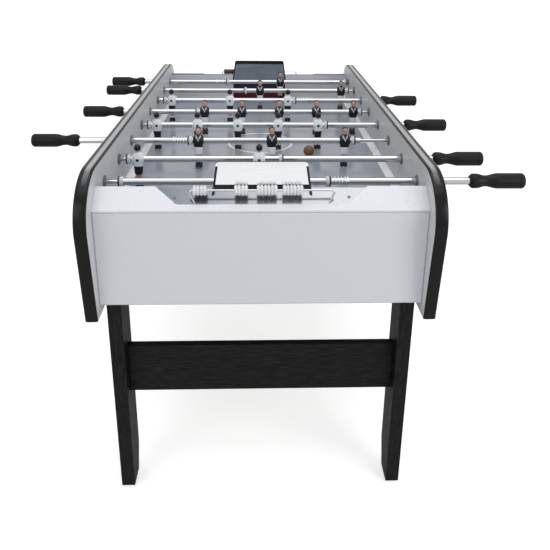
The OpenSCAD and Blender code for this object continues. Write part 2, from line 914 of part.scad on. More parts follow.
module rod_men(i) {
    color(faces_away[i - 1] == 1 ? "white" : [0.15, 0.15, 0.16])
        at_rod(i)
            for (k = [0:count(i) - 1])
                translate([-half_span(i) + k * gap(i), 0, 0])
                    rotate([0, 0, faces_away[i - 1] == 1 ? 0 : 180])
                        man();
}

// ---- Bearings ----

// Flange, sleeve and outer ring of a bearing, with its inner flange face at -flange_t
module bearing_body() {
    translate([-flange_t, 0, 0]) bar_x(flange_d / 2, flange_t);
    bar_x(sleeve_d / 2, panel_t);
    translate([panel_t, 0, 0]) bar_x(flange_d / 2, cap_t);
}

// Open bearing: the tube runs through it
module open_bearing() {
    difference() {
        bearing_body();
        translate([-flange_t - 1, 0, 0]) bar_x(tube_r + run_gap, flange_t + panel_t + cap_t + 2);
    }
}

// Closed bearing: a chamber behind the bore keeps the head of the inner rod
module closed_bearing() {
    chamber = panel_t - 1 - head_l - head_play;
    difference() {
        bearing_body();
        translate([-flange_t - 1, 0, 0]) bar_x(inner_r + run_gap, flange_t + panel_t);
        translate([chamber, 0, 0]) bar_x(head_r + 0.4, panel_t - chamber - 0.5);
    }
}

module rod_bearings() {
    color([0.1, 0.1, 0.11])
        for (i = [1:8]) {
            at_bearing(i, 1) open_bearing();
            at_bearing(i, -1) closed_bearing();
        }
}

// ---- Legs ----

// Post with its lower inner corner cut away towards the foot
module leg_post() {
    taper_h = 70;
    taper_d = 22;
    difference() {
        translate([post_in, 0, 0])
            along_x(post_w)
                polygon([
                    [post_near, field_low],
                    [post_far, field_low],
                    [post_far, glide_h],
                    [post_near + taper_d, glide_h],
                    [post_near, glide_h + taper_h]
                ]);
        for_bolts() translate([post_in - 1, 0, 0]) bar_x((bolt_d + bolt_play) / 2, post_w + 2);
    }
}

module for_bolts() {
    for (end = [-1, 1])
        for (row = bolt_rows)
            translate([0, end * (post_near + post_far) / 2, rod_z + row])
                children();
}

module leg_crossboard() {
    translate([-post_in, (post_near + post_far - cross_t) / 2, cross_z])
        cube([2 * post_in, cross_t, cross_h]);
}

module foot_glide() {
    at_y = (post_near + post_far) / 2 + 8;
    translate([(post_in + post_out) / 2, at_y, 0])
        rotate_extrude()
            polygon([[0, 0], [glide_d / 2 - 2, 0], [glide_d / 2, 2], [glide_d / 2, glide_h], [0, glide_h]]);
}

// Carriage bolt through panel and post, with its washer and nut
module leg_bolt() {
    nut_r = 7.5;
    nut_l = 7;
    washer_t = 1.5;
    washer_r = 10;
    head_h = 4.5;
    dome_r = 14;
    tip = post_in - nut_l - 2;
    rotate([0, 90, 0]) {
        translate([0, 0, tip]) cylinder(r = bolt_d / 2, h = side_out - tip);
        translate([0, 0, post_in - washer_t]) cylinder(r = washer_r, h = washer_t);
        translate([0, 0, post_in - washer_t - nut_l]) cylinder(r = nut_r, h = nut_l, $fn = 6);
        translate([0, 0, side_out])
            intersection() {
                cylinder(r = bolt_head_r, h = head_h);
                translate([0, 0, head_h - dome_r]) sphere(r = dome_r);
            }
    }
}

// ---- Nodes ----

module side_panel_right() { color([0.72, 0.73, 0.75]) side_panel(); }
module side_panel_left() { mirror([1, 0, 0]) side_panel_right(); }
module side_trim_right() { color([0.08, 0.08, 0.08]) side_trim(); }
module side_trim_left() { mirror([1, 0, 0]) side_trim_right(); }
module end_panel_far() { color([0.85, 0.86, 0.88]) end_panel(); }
module end_panel_near() { rotate([0, 0, 180]) end_panel_far(); }
module end_tops() { color("white") both_ends() end_top(); }
module end_plates() { color("lightslategray") both_ends() end_plate(); }
module goal_boards() { color([0.7, 0.71, 0.73]) both_ends() goal_board(); }
module goal_pockets() { color("midnightblue") both_ends() goal_pocket(); }
module goal_hoods() { color("gainsboro") both_ends() goal_hood(); }
module goal_frames() { color([0.15, 0.17, 0.19]) both_ends() goal_frame(); }
module score_wires() { color("silver") both_ends() score_wire(); }
module beads_near_left() { color("ivory") beads(near_rows_left, -1); }
module beads_near_right() { color("ivory") beads(near_rows_right, -1); }
module beads_far_left() { color([0.25, 0.15, 0.1]) beads(far_rows_left, 1); }
module beads_far_right() { color([0.25, 0.15, 0.1]) beads(far_rows_right, 1); }
module field_ramps() { color("white") both_sides() field_ramp(); }
module leg_posts() { color([0.1, 0.1, 0.1]) both_sides() both_ends() leg_post(); }
module leg_crossboards() { color([0.1, 0.1, 0.1]) both_ends() leg_crossboard(); }
module foot_glides() { color([0.2, 0.2, 0.2]) both_sides() both_ends() foot_glide(); }
module leg_bolts() { color("dimgray") both_sides() for_bolts() leg_bolt(); }

for (i = [1:8]) {
    rod_inner(i);
    rod_tube(i);
    rod_men(i);
    rod_handle(i);
}
side_panel_left();
side_panel_right();
side_trim_left();
side_trim_right();
end_panel_near();
end_panel_far();
end_tops();
end_plates();
goal_boards();
goal_pockets();
goal_hoods();
goal_frames();
score_wires();
beads_near_left();
beads_near_right();
beads_far_left();
beads_far_right();
playing_field();
field_markings();
field_ramps();
cabinet_bottom();
leg_posts();
leg_crossboards();
foot_glides();
leg_bolts();
rod_bearings();
ball();
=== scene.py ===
import math

import bmesh
import bpy
import numpy as np
from mathutils import Matrix, Vector


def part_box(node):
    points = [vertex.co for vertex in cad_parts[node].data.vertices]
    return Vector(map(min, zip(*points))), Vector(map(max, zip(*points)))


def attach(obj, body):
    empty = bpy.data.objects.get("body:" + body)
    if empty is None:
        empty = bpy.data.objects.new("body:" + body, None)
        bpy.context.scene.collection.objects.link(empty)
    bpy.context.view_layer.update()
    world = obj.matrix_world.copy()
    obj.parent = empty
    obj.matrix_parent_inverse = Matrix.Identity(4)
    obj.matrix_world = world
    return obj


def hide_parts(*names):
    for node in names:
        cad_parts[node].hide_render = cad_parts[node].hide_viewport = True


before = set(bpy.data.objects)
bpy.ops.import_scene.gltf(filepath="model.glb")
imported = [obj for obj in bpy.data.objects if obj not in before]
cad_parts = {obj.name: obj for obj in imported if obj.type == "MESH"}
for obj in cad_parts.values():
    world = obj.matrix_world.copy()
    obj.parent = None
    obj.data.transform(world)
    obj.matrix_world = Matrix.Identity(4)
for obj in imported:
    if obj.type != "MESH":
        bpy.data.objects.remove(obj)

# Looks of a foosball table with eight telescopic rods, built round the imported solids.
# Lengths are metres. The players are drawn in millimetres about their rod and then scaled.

MM = 0.001
WELD = 2e-6
LEVEL_ANGLE = math.radians(1)
CRISP_ANGLE = math.radians(24)
BEVEL_ANGLE = math.radians(35)
TURN = 2 * math.pi
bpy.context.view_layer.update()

# ---- Sizes shared with the solids ----

RODS = range(1, 9)
MEN = {1: 1, 2: 2, 3: 3, 4: 5, 5: 5, 6: 3, 7: 2, 8: 1}
GAP = {1: 0.0, 2: 0.294, 3: 0.196, 5: 0.117}
WHITE_RODS = (1, 2, 4, 6)
SPRUNG = (1, 3, 6, 8)

TUBE_R = 0.008
BORE_R = 0.0065
CORE_R = 0.00425
COLLAR_R = 0.012
COLLAR_L = 0.008
DISC_R = 0.0125
DISC_T = 0.003
SPRING_L = 0.038
SPRING_WIRE = 0.001
SPRING_TURNS = 5
MAN_HALF = 0.0145
MAN_PLAY = 0.0025
KEEPER_COLLAR = 0.197
TRIO_RUN = 0.014
PAIR_COLLAR = 0.048
TUBE_IN_GRIP = 0.096
BUSH_L = 0.022
GRIP_L = 0.124
GRIP_R = 0.0175
GRIP_WAIST = 0.0125
RUNNING_GAP = 0.00005

HALF_W = 0.345
PANEL_T = 0.025
SIDE_OUT = HALF_W + PANEL_T
FLANGE_T = 0.0035
FLANGE_R = 0.0145
RING_T = 0.003
SLEEVE_R = 0.011
ROD_Z = 0.790
HALF_L = 0.600
END_OUT = 0.643
WIRE_Y = END_OUT - 0.017
WIRE_Z = ROD_Z + 0.020
WIRE_R = 0.002
WIRE_SPLAY = math.radians(25)
WIRE_HALF = 0.148
WIRE_BEND = 0.006
HOOD_PIVOT = 0.80504
HOOD_LEAN = math.radians(10)
HOOD_TOP = 0.860
BEAD_R = 0.011
BEAD_L = 0.014
FIRST_BEAD = -0.142
TOP_INNER_Z = 0.019
TOP_OUTER_Z = 0.018
TOP_T = 0.003
WINDOW_W = 0.442
WINDOW_LOW_W = 0.366
WINDOW_RIM = 0.015
SLOPE_L = math.hypot(END_OUT - HALF_L, TOP_INNER_Z + TOP_OUTER_Z)
SLOPE = math.atan((TOP_INNER_Z + TOP_OUTER_Z) / (END_OUT - HALF_L))
PLATE_Z = ROD_Z + TOP_INNER_Z - TOP_T / math.cos(SLOPE)
# radius of the grey cord that stands in for the shadow line round the plate window (painted shade)
SHADE_LINE_R = 0.0008
SCREW_X = 0.180
SCREW_DOWN = 0.022
PAD_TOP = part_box("goal_pockets")[0].z + 0.050
POST_T = 0.032
POST_Y = (0.5170 + 0.5920) / 2
BOLT_ROWS = (ROD_Z - 0.112, ROD_Z - 0.196)
BOLT_R = 0.004
BOLT_HEAD_R = 0.010


# ---- Surfaces ----

def quads(nu, nv, wrap_u=False, wrap_v=False):
    """Faces of an nu by nv grid of points, closed round u or v where asked."""
    u = np.arange(nu if wrap_u else nu - 1)
    v = np.arange(nv if wrap_v else nv - 1)
    a, b = np.meshgrid(u, v, indexing="ij")
    c, d = (a + 1) % nu, (b + 1) % nv
    return np.stack([a * nv + b, c * nv + b, c * nv + d, a * nv + d], -1).reshape(-1, 4)


def volume(points, faces):
    """Signed volume inside closed faces: a sixth of the sum of each triangle's triple product."""
    total = 0.0
    for f in faces:
        p = points[f]
        for k in range(1, f.shape[1] - 1):
            total += np.einsum("ij,ij->", p[:, 0], np.cross(p[:, k], p[:, k + 1]))
    return total / 6


def outward(points, faces):
    """The same patch with its faces turned to point outwards, if they enclose a negative volume."""
    centred = points - points.mean(0)
    if volume(centred, faces) < 0:
        faces = [f[:, ::-1] for f in faces]
    return points, faces


def loft(rings):
    """Closed skin through rings of equal count, each end closed by a fan to the middle of its ring."""
    rings = np.asarray(rings, float)
    n, m = rings.shape[:2]
    points = np.concatenate([rings.reshape(-1, 3), rings[[0, -1]].mean(1)])
    k = np.arange(m)
    low = np.stack([k, (k + 1) % m, np.full(m, n * m)], -1)
    high = np.stack([(k + 1) % m + (n - 1) * m, k + (n - 1) * m, np.full(m, n * m + 1)], -1)
    return outward(points, [quads(n, m, wrap_v=True), low[:, ::-1], high[:, ::-1]])


def ring_of(along, radius, count):
    """Circle of that radius about the X axis, at that distance along it."""
    t = np.arange(count) * TURN / count
    return np.stack([np.full(count, along), radius * np.cos(t), radius * np.sin(t)], -1)


def lathe(profile, count=48):
    """Solid turned about X: the profile's (distance along, radius) points, each made a circle."""
    return loft([ring_of(a, max(r, 1e-5), count) for a, r in profile])


def hollow_lathe(profile, count=48):
    """Ring turned about X from a closed profile that stays off the axis."""
    rings = np.array([ring_of(a, r, count) for a, r in profile])
    return outward(rings.reshape(-1, 3), [quads(len(profile), count, True, True)])


def bushing(a, b, inner, outer, edge=0.0006, count=48):
    """Ring from a to b along X with its outer edges rounded by two steps."""
    e = min(edge, (b - a) / 3)
    corner = [(0.0, -1.0), (0.3, -0.3), (1.0, 0.0)]
    left = [(a + e * s, outer + e * t) for s, t in corner]
    right = [(b - e * s, outer + e * t) for s, t in reversed(corner)]
    return hollow_lathe([(a, inner)] + left + right + [(b, inner)], count)


def tube_along(path, radius, count=12):
    """Round wire: a circle carried along the path, turned with it by the least twist."""
    path = np.asarray(path, float)
    n = len(path)
    step = np.gradient(path, axis=0)
    tangent = step / np.linalg.norm(step, axis=1, keepdims=True)
    normal = np.empty_like(path)
    first = np.cross(tangent[0], [0.0, 0.0, 1.0])
    if np.linalg.norm(first) < 0.1:
        first = np.cross(tangent[0], [0.0, 1.0, 0.0])
    normal[0] = first / np.linalg.norm(first)
    for k in range(1, n):
        q = normal[k - 1] - tangent[k] * (normal[k - 1] @ tangent[k])
        normal[k] = q / np.linalg.norm(q)
    other = np.cross(tangent, normal)
    t = np.arange(count) * TURN / count
    rings = (path[:, None] + radius * (np.cos(t)[None, :, None] * normal[:, None]
                                       + np.sin(t)[None, :, None] * other[:, None]))
    return loft(rings)


def smooth_between(keys, count):
    """Rows between key rows whose first column rises: cubic Hermite curves through them."""
    keys = np.asarray(keys, float)
    s = keys[:, 0]
    slope = np.gradient(keys, s, axis=0)
    x = np.linspace(s[0], s[-1], count)
    k = np.clip(np.searchsorted(s, x, side="right") - 1, 0, len(s) - 2)
    h = (s[k + 1] - s[k])[:, None]
    t = ((x - s[k]) / (s[k + 1] - s[k]))[:, None]
    return ((2 * t**3 - 3 * t**2 + 1) * keys[k] + (t**3 - 2 * t**2 + t) * h * slope[k]
            + (3 * t**2 - 2 * t**3) * keys[k + 1] + (t**3 - t**2) * h * slope[k + 1])


def oval(cx, cy, z, rx, ry, power, count):
    """Level superellipse: |x/rx|^power + |y/ry|^power = 1 about (cx, cy) at height z."""
    t = np.arange(count) * TURN / count
    c, s = np.cos(t), np.sin(t)
    x = cx + rx * np.sign(c) * np.abs(c) ** (2 / power)
    y = cy + ry * np.sign(s) * np.abs(s) ** (2 / power)
    return np.stack([x, y, np.full(count, z)], -1)


def limb(keys, rows, count=16):
    """Loft of level superellipses through key rows, each (z, centre x, centre y, half width,
    half depth, power)."""
    rows = smooth_between(sorted(keys), rows)
    return loft([oval(r[1], r[2], r[0], r[3], r[4], r[5], count) for r in rows])


def egg(centre, radii, rows=13, count=20):
    """Ellipsoid on a grid of latitude and longitude, with small closed poles."""
    a = np.linspace(-math.pi / 2 + 0.08, math.pi / 2 - 0.08, rows)
    wide, deep, tall = radii
    rings = [oval(0, 0, math.sin(b) * tall, math.cos(b) * wide, math.cos(b) * deep, 2, count)
             for b in a]
    points, faces = loft(rings)
    return points + np.asarray(centre, float), faces


def moved(patch, by=(0, 0, 0), scale=1.0, mirror_x=False, half_turn=False):
    """A patch scaled, mirrored across X = 0 or turned half round Z, then moved."""
    points, faces = patch
    points = points * scale
    if mirror_x:
        points = points * [-1, 1, 1]
        faces = [f[:, ::-1] for f in faces]
    if half_turn:
        points = points * [-1, -1, 1]
    return points + np.asarray(by, float), faces


# ---- Pieces ----

def new_object(name, data):
    """An object that shows the data, linked to the scene."""
    obj = bpy.data.objects.new(name, data)
    bpy.context.scene.collection.objects.link(obj)
    return obj


def make_piece(name, layers, body, stands_for=(), sharp=40, attribute=None):
    """One mesh out of layers of (patch, material), riding on a body.
    Edges sharper than the angle stay crisp, and the attribute's values follow the points in order."""
    points, faces, finishes, picks, start = [], [], [], [], 0
    for patch, finish in layers:
        p, groups = patch
        points.append(p)
        if finish not in finishes:
            finishes.append(finish)
        for g in groups:
            faces.extend((g + start).tolist())
            picks.extend([finishes.index(finish)] * len(g))
        start += len(p)
    mesh = bpy.data.meshes.new(name)
    mesh.from_pydata(np.concatenate(points).tolist(), [], faces)
    for finish in finishes:
        mesh.materials.append(finish)
    mesh.polygons.foreach_set("material_index", picks)
    mesh.polygons.foreach_set("use_smooth", [True] * len(faces))
    mesh.update()
    mesh.set_sharp_from_angle(angle=math.radians(sharp))
    if attribute is not None:
        label, values = attribute
        mesh.attributes.new(label, "FLOAT", "POINT").data.foreach_set("value", values)
    finish_piece(new_object(name, mesh), body, stands_for)


def finish_piece(obj, body, stands_for=()):
    """Puts a piece on its body and hides the CAD nodes it stands for."""
    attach(obj, body)
    if stands_for:
        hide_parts(*stands_for)


def eased_copy(node, name, finishes, edge, pick=None):
    """A welded copy of a fixed CAD node with its edges eased by a small bevel.
    pick takes each face's centre and normal as arrays and gives the number of its finish."""
    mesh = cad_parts[node].data.copy()
    mesh.name = name
    work = bmesh.new()
    work.from_mesh(mesh)
    bmesh.ops.remove_doubles(work, verts=work.verts, dist=WELD)
    bmesh.ops.dissolve_limit(work, angle_limit=LEVEL_ANGLE, verts=work.verts, edges=work.edges)
    work.to_mesh(mesh)
    work.free()
    mesh.materials.clear()
    for finish in finishes:
        mesh.materials.append(finish)
    count = len(mesh.polygons)
    centre, normal = np.zeros(count * 3), np.zeros(count * 3)
    mesh.polygons.foreach_get("center", centre)
    mesh.polygons.foreach_get("normal", normal)
    index = np.zeros(count, int) if pick is None else pick(centre.reshape(-1, 3), normal.reshape(-1, 3))
    mesh.polygons.foreach_set("material_index", index)
    mesh.polygons.foreach_set("use_smooth", [True] * count)
    mesh.set_sharp_from_angle(angle=CRISP_ANGLE)
    obj = new_object(name, mesh)
    bevel = obj.modifiers.new("eased edges", "BEVEL")
    bevel.width = edge
    bevel.segments = 2
    bevel.limit_method = "ANGLE"
    bevel.angle_limit = BEVEL_ANGLE
    bevel.harden_normals = True
    finish_piece(obj, "table", [node])


def dress(node, finish):
    """Gives a CAD node its material."""
    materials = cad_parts[node].data.materials
    materials.clear()
    materials.append(finish)


# ---- Finishes ----

class Nodes:
    """A node tree whose nodes are added step by step."""

    def __init__(self, owner):
        owner.use_nodes = True
        self.tree = owner.node_tree

    def node(self, kind, **values):
        """A new node, with its inputs and settings given by name."""
        made = self.tree.nodes.new(kind)
        for key, value in values.items():
            if key in made.inputs:
                made.inputs[key].default_value = value
            else:
                setattr(made, key, value)
        return made

    def link(self, a, b):
        """Joins an output to an input."""
        self.tree.links.new(a, b)

    def coordinates(self, kind="Object"):
        """The place of each point: Object for a piece, Generated for a direction in the world."""
        return self.node("ShaderNodeTexCoord").outputs[kind]

    def parts(self, vector):
        """A vector's X, Y and Z."""
        made = self.node("ShaderNodeSeparateXYZ")
        self.link(vector, made.inputs["Vector"])
        return made.outputs

    def spread(self, source, low, high, dark=0.0, light=1.0):
        """Straight line from dark where the source is low to light where it is high, level beyond."""
        made = self.node("ShaderNodeMapRange")
        for key, value in zip(("From Min", "From Max", "To Min", "To Max"), (low, high, dark, light)):
            made.inputs[key].default_value = value
        self.link(source, made.inputs["Value"])
        return made.outputs["Result"]

    def combine(self, operation, *sources):
        """One value out of outputs and numbers, by the named operation."""
        made = self.node("ShaderNodeMath", operation=operation)
        for k, source in enumerate(sources):
            if isinstance(source, float):
                made.inputs[k].default_value = source
            else:
                self.link(source, made.inputs[k])
        return made.outputs["Value"]


class Finish(Nodes):
    """A Principled material: plain values are set on its sockets, and patterns are linked in."""

    def __init__(self, name, color, rough, metal=0.0, spec=0.5, coat=0.0, coat_rough=0.1):
        self.mat = bpy.data.materials.new(name)
        self.mat.diffuse_color = (*color, 1)
        super().__init__(self.mat)
        self.shader = self.tree.nodes["Principled BSDF"]
        plain = {"Base Color": (*color, 1), "Roughness": rough, "Metallic": metal,
                 "Specular IOR Level": spec, "Coat Weight": coat, "Coat Roughness": coat_rough}
        for key, value in plain.items():
            self.shader.inputs[key].default_value = value

    def place_and_way(self):
        """X, Y and Z of each point's place and of its outward direction."""
        way = self.node("ShaderNodeNewGeometry").outputs["Normal"]
        return self.parts(self.coordinates()), self.parts(way)

    def noise(self, scale, detail=3.0, stretch=(1, 1, 1), distortion=0.0):
        """Cloudy pattern, stretched where a grain runs one way."""
        mapping = self.node("ShaderNodeMapping", Scale=stretch)
        self.link(self.coordinates(), mapping.inputs["Vector"])
        made = self.node("ShaderNodeTexNoise", Scale=scale, Detail=detail, Distortion=distortion)
        self.link(mapping.outputs["Vector"], made.inputs["Vector"])
        return made.outputs["Fac"]

    def tint(self, fac, dark, light, low=0.3, high=0.7):
        """Base colour between two tones as the pattern goes from low to high."""
        ramp = self.node("ShaderNodeValToRGB")
        for element, position, color in zip(ramp.color_ramp.elements, (low, high), (dark, light)):
            element.position = position
            element.color = (*color, 1)
        self.link(fac, ramp.inputs["Fac"])
        self.link(ramp.outputs["Color"], self.shader.inputs["Base Color"])

    def gloss(self, fac, low, high):
        """Roughness between two values as the pattern goes from 0.3 to 0.7."""
        self.link(self.spread(fac, 0.3, 0.7, low, high), self.shader.inputs["Roughness"])

    def bump(self, fac, strength, distance):
        """Relief from the pattern, with its height in metres."""
        made = self.node("ShaderNodeBump", Strength=strength, Distance=distance)
        self.link(fac, made.inputs["Height"])
        self.link(made.outputs["Normal"], self.shader.inputs["Normal"])


def shade(color, by):
    """A colour made darker or lighter by a share."""
    return tuple(min(1.0, c * (1 + by)) for c in color)


def moulded(name, color, rough, spread=0.06, grain=900, relief=0.03, spec=0.5, coat=0.0,
            coat_rough=0.1, metal=0.0):
    """Even finish with faint cloudy colour, uneven gloss and a fine surface grain."""
    f = Finish(name, color, rough, metal, spec, coat, coat_rough)
    f.tint(f.noise(18, 4), shade(color, -spread), shade(color, spread))
    f.gloss(f.noise(55, 3), rough * 0.85, min(1.0, rough * 1.2))
    f.bump(f.noise(grain, 2), relief, 0.0004)
    return f.mat


def streaked(name, color, low, high, stretch, scale=40, spread=0.05, relief=0.05, rim=1.0):
    """Brushed or drawn metal: noise drawn out along one direction in colour, gloss and relief.
    A rim below 1 dims the metal where it is seen edge on."""
    f = Finish(name, color, (low + high) / 2, 1.0)
    f.shader.inputs["Specular Tint"].default_value = (rim, rim, rim, 1)
    line = f.noise(scale, 5, stretch)
    f.tint(line, shade(color, -spread), shade(color, spread))
    f.gloss(line, low, high)
    f.bump(line, relief, 0.0002)
    return f.mat


def laminate(name, color, rough, fleck, spread=0.05):
    """Melamine-faced board: fine flecks over a cloudy ground, with a slight orange-peel relief."""
    f = Finish(name, color, rough)
    flecks = f.noise(fleck, 6)
    f.tint(flecks, shade(color, -spread), shade(color, spread), 0.36, 0.64)
    f.gloss(f.noise(30, 3), rough * 0.85, rough * 1.2)
    f.bump(f.noise(fleck * 1.5, 3), 0.05, 0.0003)
    return f.mat


def glossy_strip():
    """Black extruded strip: a grey band along its level crown is painted sheen, its base colour lifted
    from black to grey to stand in for the grazing reflection, and the same band turns glossy at a low
    angle through the coat; the rest stays dull. The band lies between two distances from the middle of
    the table."""
    black, grey = (0.005, 0.005, 0.006), (0.17, 0.173, 0.18)
    f = Finish("black edge strip", black, 0.30, spec=0.17, coat_rough=0.2)
    place, way = f.place_and_way()
    across = f.combine("ABSOLUTE", place["X"])
    inner = f.spread(across, HALF_W + 0.0050, HALF_W + 0.0065)
    outer = f.spread(across, HALF_W + 0.0175, HALF_W + 0.0155)
    level = f.spread(way["Z"], 0.80, 0.985)
    # painted sheen mask: the level crown band between the two distances, tinted grey below
    painted_sheen = f.combine("MULTIPLY", level, f.combine("MULTIPLY", inner, outer))
    low_angle = f.spread(f.node("ShaderNodeLayerWeight", Blend=0.5).outputs["Facing"], 0.40, 0.62)
    f.link(f.combine("MULTIPLY", painted_sheen, low_angle), f.shader.inputs["Coat Weight"])
    f.shader.inputs["Coat IOR"].default_value = 4.0
    # painted sheen: the crown band's base colour goes from black to grey in place of the grazing
    # reflection
    f.tint(painted_sheen, black, grey, 0.0, 1.0)
    f.gloss(f.noise(60, 4), 0.20, 0.27)
    f.bump(f.noise(300, 3), 0.04, 0.0004)
    return f.mat


def black_grain(name, stretch):
    """Black foil over board with a woodgrain drawn out along the board."""
    f = Finish(name, (0.008, 0.008, 0.008), 0.42, spec=0.13)
    pores = f.noise(60, 8, stretch, 0.4)
    f.tint(pores, (0.002, 0.002, 0.002), (0.013, 0.013, 0.013), 0.38, 0.66)
    f.gloss(pores, 0.52, 0.36)
    f.bump(pores, 0.25, 0.0003)
    return f.mat


def polished_plate():
    """Polished steel: fine lines along X, and a painted reflection: the base colour rises from dark on
    the left to light on the right across the plate, standing in for the darker and brighter
    surroundings it reflects.
    """
    f = Finish("polished steel plate", (0.6, 0.64, 0.68), 0.16, 1.0)
    line = f.noise(30, 5, (1, 30, 30))
    across = f.combine("MULTIPLY_ADD", line, 0.05, f.parts(f.coordinates())["X"])
    # painted reflection: the left-to-right ramp in the base colour stands in for what the plate
    # reflects
    f.tint(f.spread(across, -0.24, 0.16), (0.058, 0.070, 0.083), (0.29, 0.30, 0.312), 0.0, 1.0)
    f.gloss(line, 0.12, 0.24)
    f.bump(line, 0.03, 0.0002)
    return f.mat


def capped_rim():
    """Black rim with a bright cap: metal above a height, where the face looks away from the field,
    which is where its Y and its outward direction's Y have the same sign."""
    black, bright = (0.009, 0.010, 0.010), (0.90, 0.91, 0.93)
    f = Finish("black hood rim", black, 0.26, spec=0.3)
    place, way = f.place_and_way()
    outside = f.spread(f.combine("MULTIPLY", place["Y"], way["Y"]), 0.20, 0.30)
    high = f.spread(place["Z"], HOOD_TOP - 0.0090, HOOD_TOP - 0.0085)
    cap = f.combine("MULTIPLY", outside, high)
    f.tint(cap, black, bright, 0.0, 1.0)
    f.link(cap, f.shader.inputs["Metallic"])
    f.bump(f.noise(600, 2), 0.02, 0.0004)
    return f.mat


def milky_bead(name, color, through):
    """Milky plastic that lets some light through, with cloudy density."""
    f = Finish(name, color, 0.22, coat=0.3)
    f.shader.inputs["Transmission Weight"].default_value = through
    f.shader.inputs["IOR"].default_value = 1.46
    f.tint(f.noise(160, 4), shade(color, -0.08), shade(color, 0.05))
    f.bump(f.noise(400, 2), 0.04, 0.0003)
    return f.mat


def cork():
    """Pressed orange-brown ball: coarse and fine specks, darker in the pits."""
    f = Finish("pressed ball", (0.19, 0.095, 0.045), 0.6, spec=0.3)
    specks = f.noise(260, 6)
    f.tint(specks, (0.10, 0.045, 0.02), (0.27, 0.14, 0.065), 0.38, 0.62)
    f.bump(specks, 0.4, 0.0006)
    return f.mat


def pocket_lining():
    """Dark tray whose lower half wears a maroon pad: the colour changes at the pad's top edge."""
    f = Finish("tray and pad", (0.02, 0.025, 0.05), 0.45)
    maroon, navy = (0.11, 0.008, 0.018), (0.012, 0.018, 0.045)
    level = f.spread(f.parts(f.coordinates())["Z"], PAD_TOP - 0.0005, PAD_TOP + 0.0005)
    f.tint(level, maroon, navy, 0.45, 0.55)
    f.gloss(f.noise(40, 3), 0.35, 0.55)
    f.bump(f.noise(500, 3), 0.1, 0.0004)
    return f.mat


def v_shirt():
    """Black shirt with a white V at the neck, from the band attribute."""
    black, white = (0.008, 0.008, 0.010), (0.42, 0.44, 0.46)
    f = Finish("black shirt with white V", black, 0.3, spec=0.3)
    band = f.node("ShaderNodeAttribute", attribute_name="band")
    f.tint(band.outputs["Fac"], black, white, 0.45, 0.62)
    f.gloss(f.noise(60, 3), 0.26, 0.38)
    f.bump(f.noise(900, 2), 0.02, 0.0004)
    return f.mat


side_grey = laminate("grey laminate", (0.53, 0.545, 0.555), 0.40, 420, 0.10)
end_white = laminate("light melamine", (0.585, 0.60, 0.64), 0.42, 260, 0.015)
cover_white = moulded("white cover", (0.625, 0.635, 0.675), 0.30, 0.015, 700, 0.02, coat=0.2)
board_grey = laminate("grey goal board", (0.50, 0.515, 0.55), 0.35, 420, 0.05)
field_gloss = moulded("glossy grey field", (0.30, 0.325, 0.375), 0.16, 0.05, 500, 0.01, coat=0.3,
                       coat_rough=0.08)
edge_black = glossy_strip()
line_white = moulded("white field print", (0.80, 0.81, 0.84), 0.16, 0.02, 500, 0.01, coat=0.4)
strip_white = moulded("white corner strip", (0.78, 0.79, 0.80), 0.25, 0.02, 600, 0.02)
plate_steel = polished_plate()
hood_bright = streaked("bright hood sheet", (0.92, 0.93, 0.95), 0.10, 0.20, (1, 20, 20), 20, 0.02, 0.02)
frame_black = capped_rim()
frame_panel = moulded("smoky hood panel", (0.165, 0.20, 0.235), 0.16, 0.1, 300, 0.01, spec=0.4,
                       coat=0.2)
wire_chrome = streaked("bright wire", (0.55, 0.56, 0.57), 0.06, 0.12, (1, 20, 20), 60, 0.03, 0.02,
                       rim=0.3)
tube_chrome = streaked("chromed tube", (0.51, 0.525, 0.54), 0.07, 0.14, (2, 40, 40), 20, 0.03, 0.01,
                       rim=0.12)
core_steel = streaked("polished core rod", (0.46, 0.465, 0.48), 0.10, 0.18, (2, 40, 40), 20, 0.04, 0.01,
                      rim=0.12)
spring_steel = streaked("spring wire", (0.80, 0.81, 0.83), 0.2, 0.3, (20, 20, 2), 50, 0.04, 0.02)
screw_steel = streaked("plate screw", (0.125, 0.135, 0.145), 0.2, 0.3, (20, 20, 2), 50, 0.04, 0.02)
collar_white = moulded("white collar", (0.52, 0.54, 0.56), 0.3, 0.02, 800, 0.02)
disc_black = moulded("black rubber disc", (0.010, 0.010, 0.011), 0.5, 0.1, 900, 0.08, spec=0.25)
screw_black = moulded("black grub screw", (0.007, 0.007, 0.008), 0.35, 0.1, 900, 0.05, spec=0.3)
grip_black = moulded("black grip", (0.006, 0.0065, 0.0065), 0.40, 0.14, 700, 0.10, spec=0.16)
bearing_black = moulded("dark grey bearing", (0.10, 0.104, 0.112), 0.36, 0.1, 900, 0.05)
leg_upright = black_grain("black board upright grain", (6, 6, 0.5))
leg_across = black_grain("black board cross grain", (0.5, 6, 6))
# painted shade: colour of the cord that stands in for the shadow line round the plate window
shade_line_grey = moulded("grey painted shade line", (0.20, 0.21, 0.22), 0.5, 0.1, 800, 0.05, spec=0.3)
glide_black = moulded("black foot glide", (0.02, 0.02, 0.021), 0.5, 0.1, 800, 0.08)
bolt_black = moulded("black bolt", (0.03, 0.03, 0.032), 0.35, 0.1, 500, 0.05, metal=0.6)
under_board = laminate("brown hardboard", (0.16, 0.12, 0.085), 0.7, 500, 0.25)
skin = moulded("painted skin", (0.46, 0.28, 0.21), 0.35, 0.06, 900, 0.02)
hair = moulded("painted black hair", (0.009, 0.008, 0.008), 0.35, 0.2, 500, 0.12, spec=0.3)
kit_white = moulded("white kit", (0.66, 0.70, 0.73), 0.30, 0.03, 900, 0.02)
kit_black = moulded("black kit", (0.008, 0.008, 0.010), 0.30, 0.1, 900, 0.02, spec=0.3)
shoe_black = moulded("black shoe", (0.007, 0.007, 0.009), 0.32, 0.1, 900, 0.02, spec=0.3)
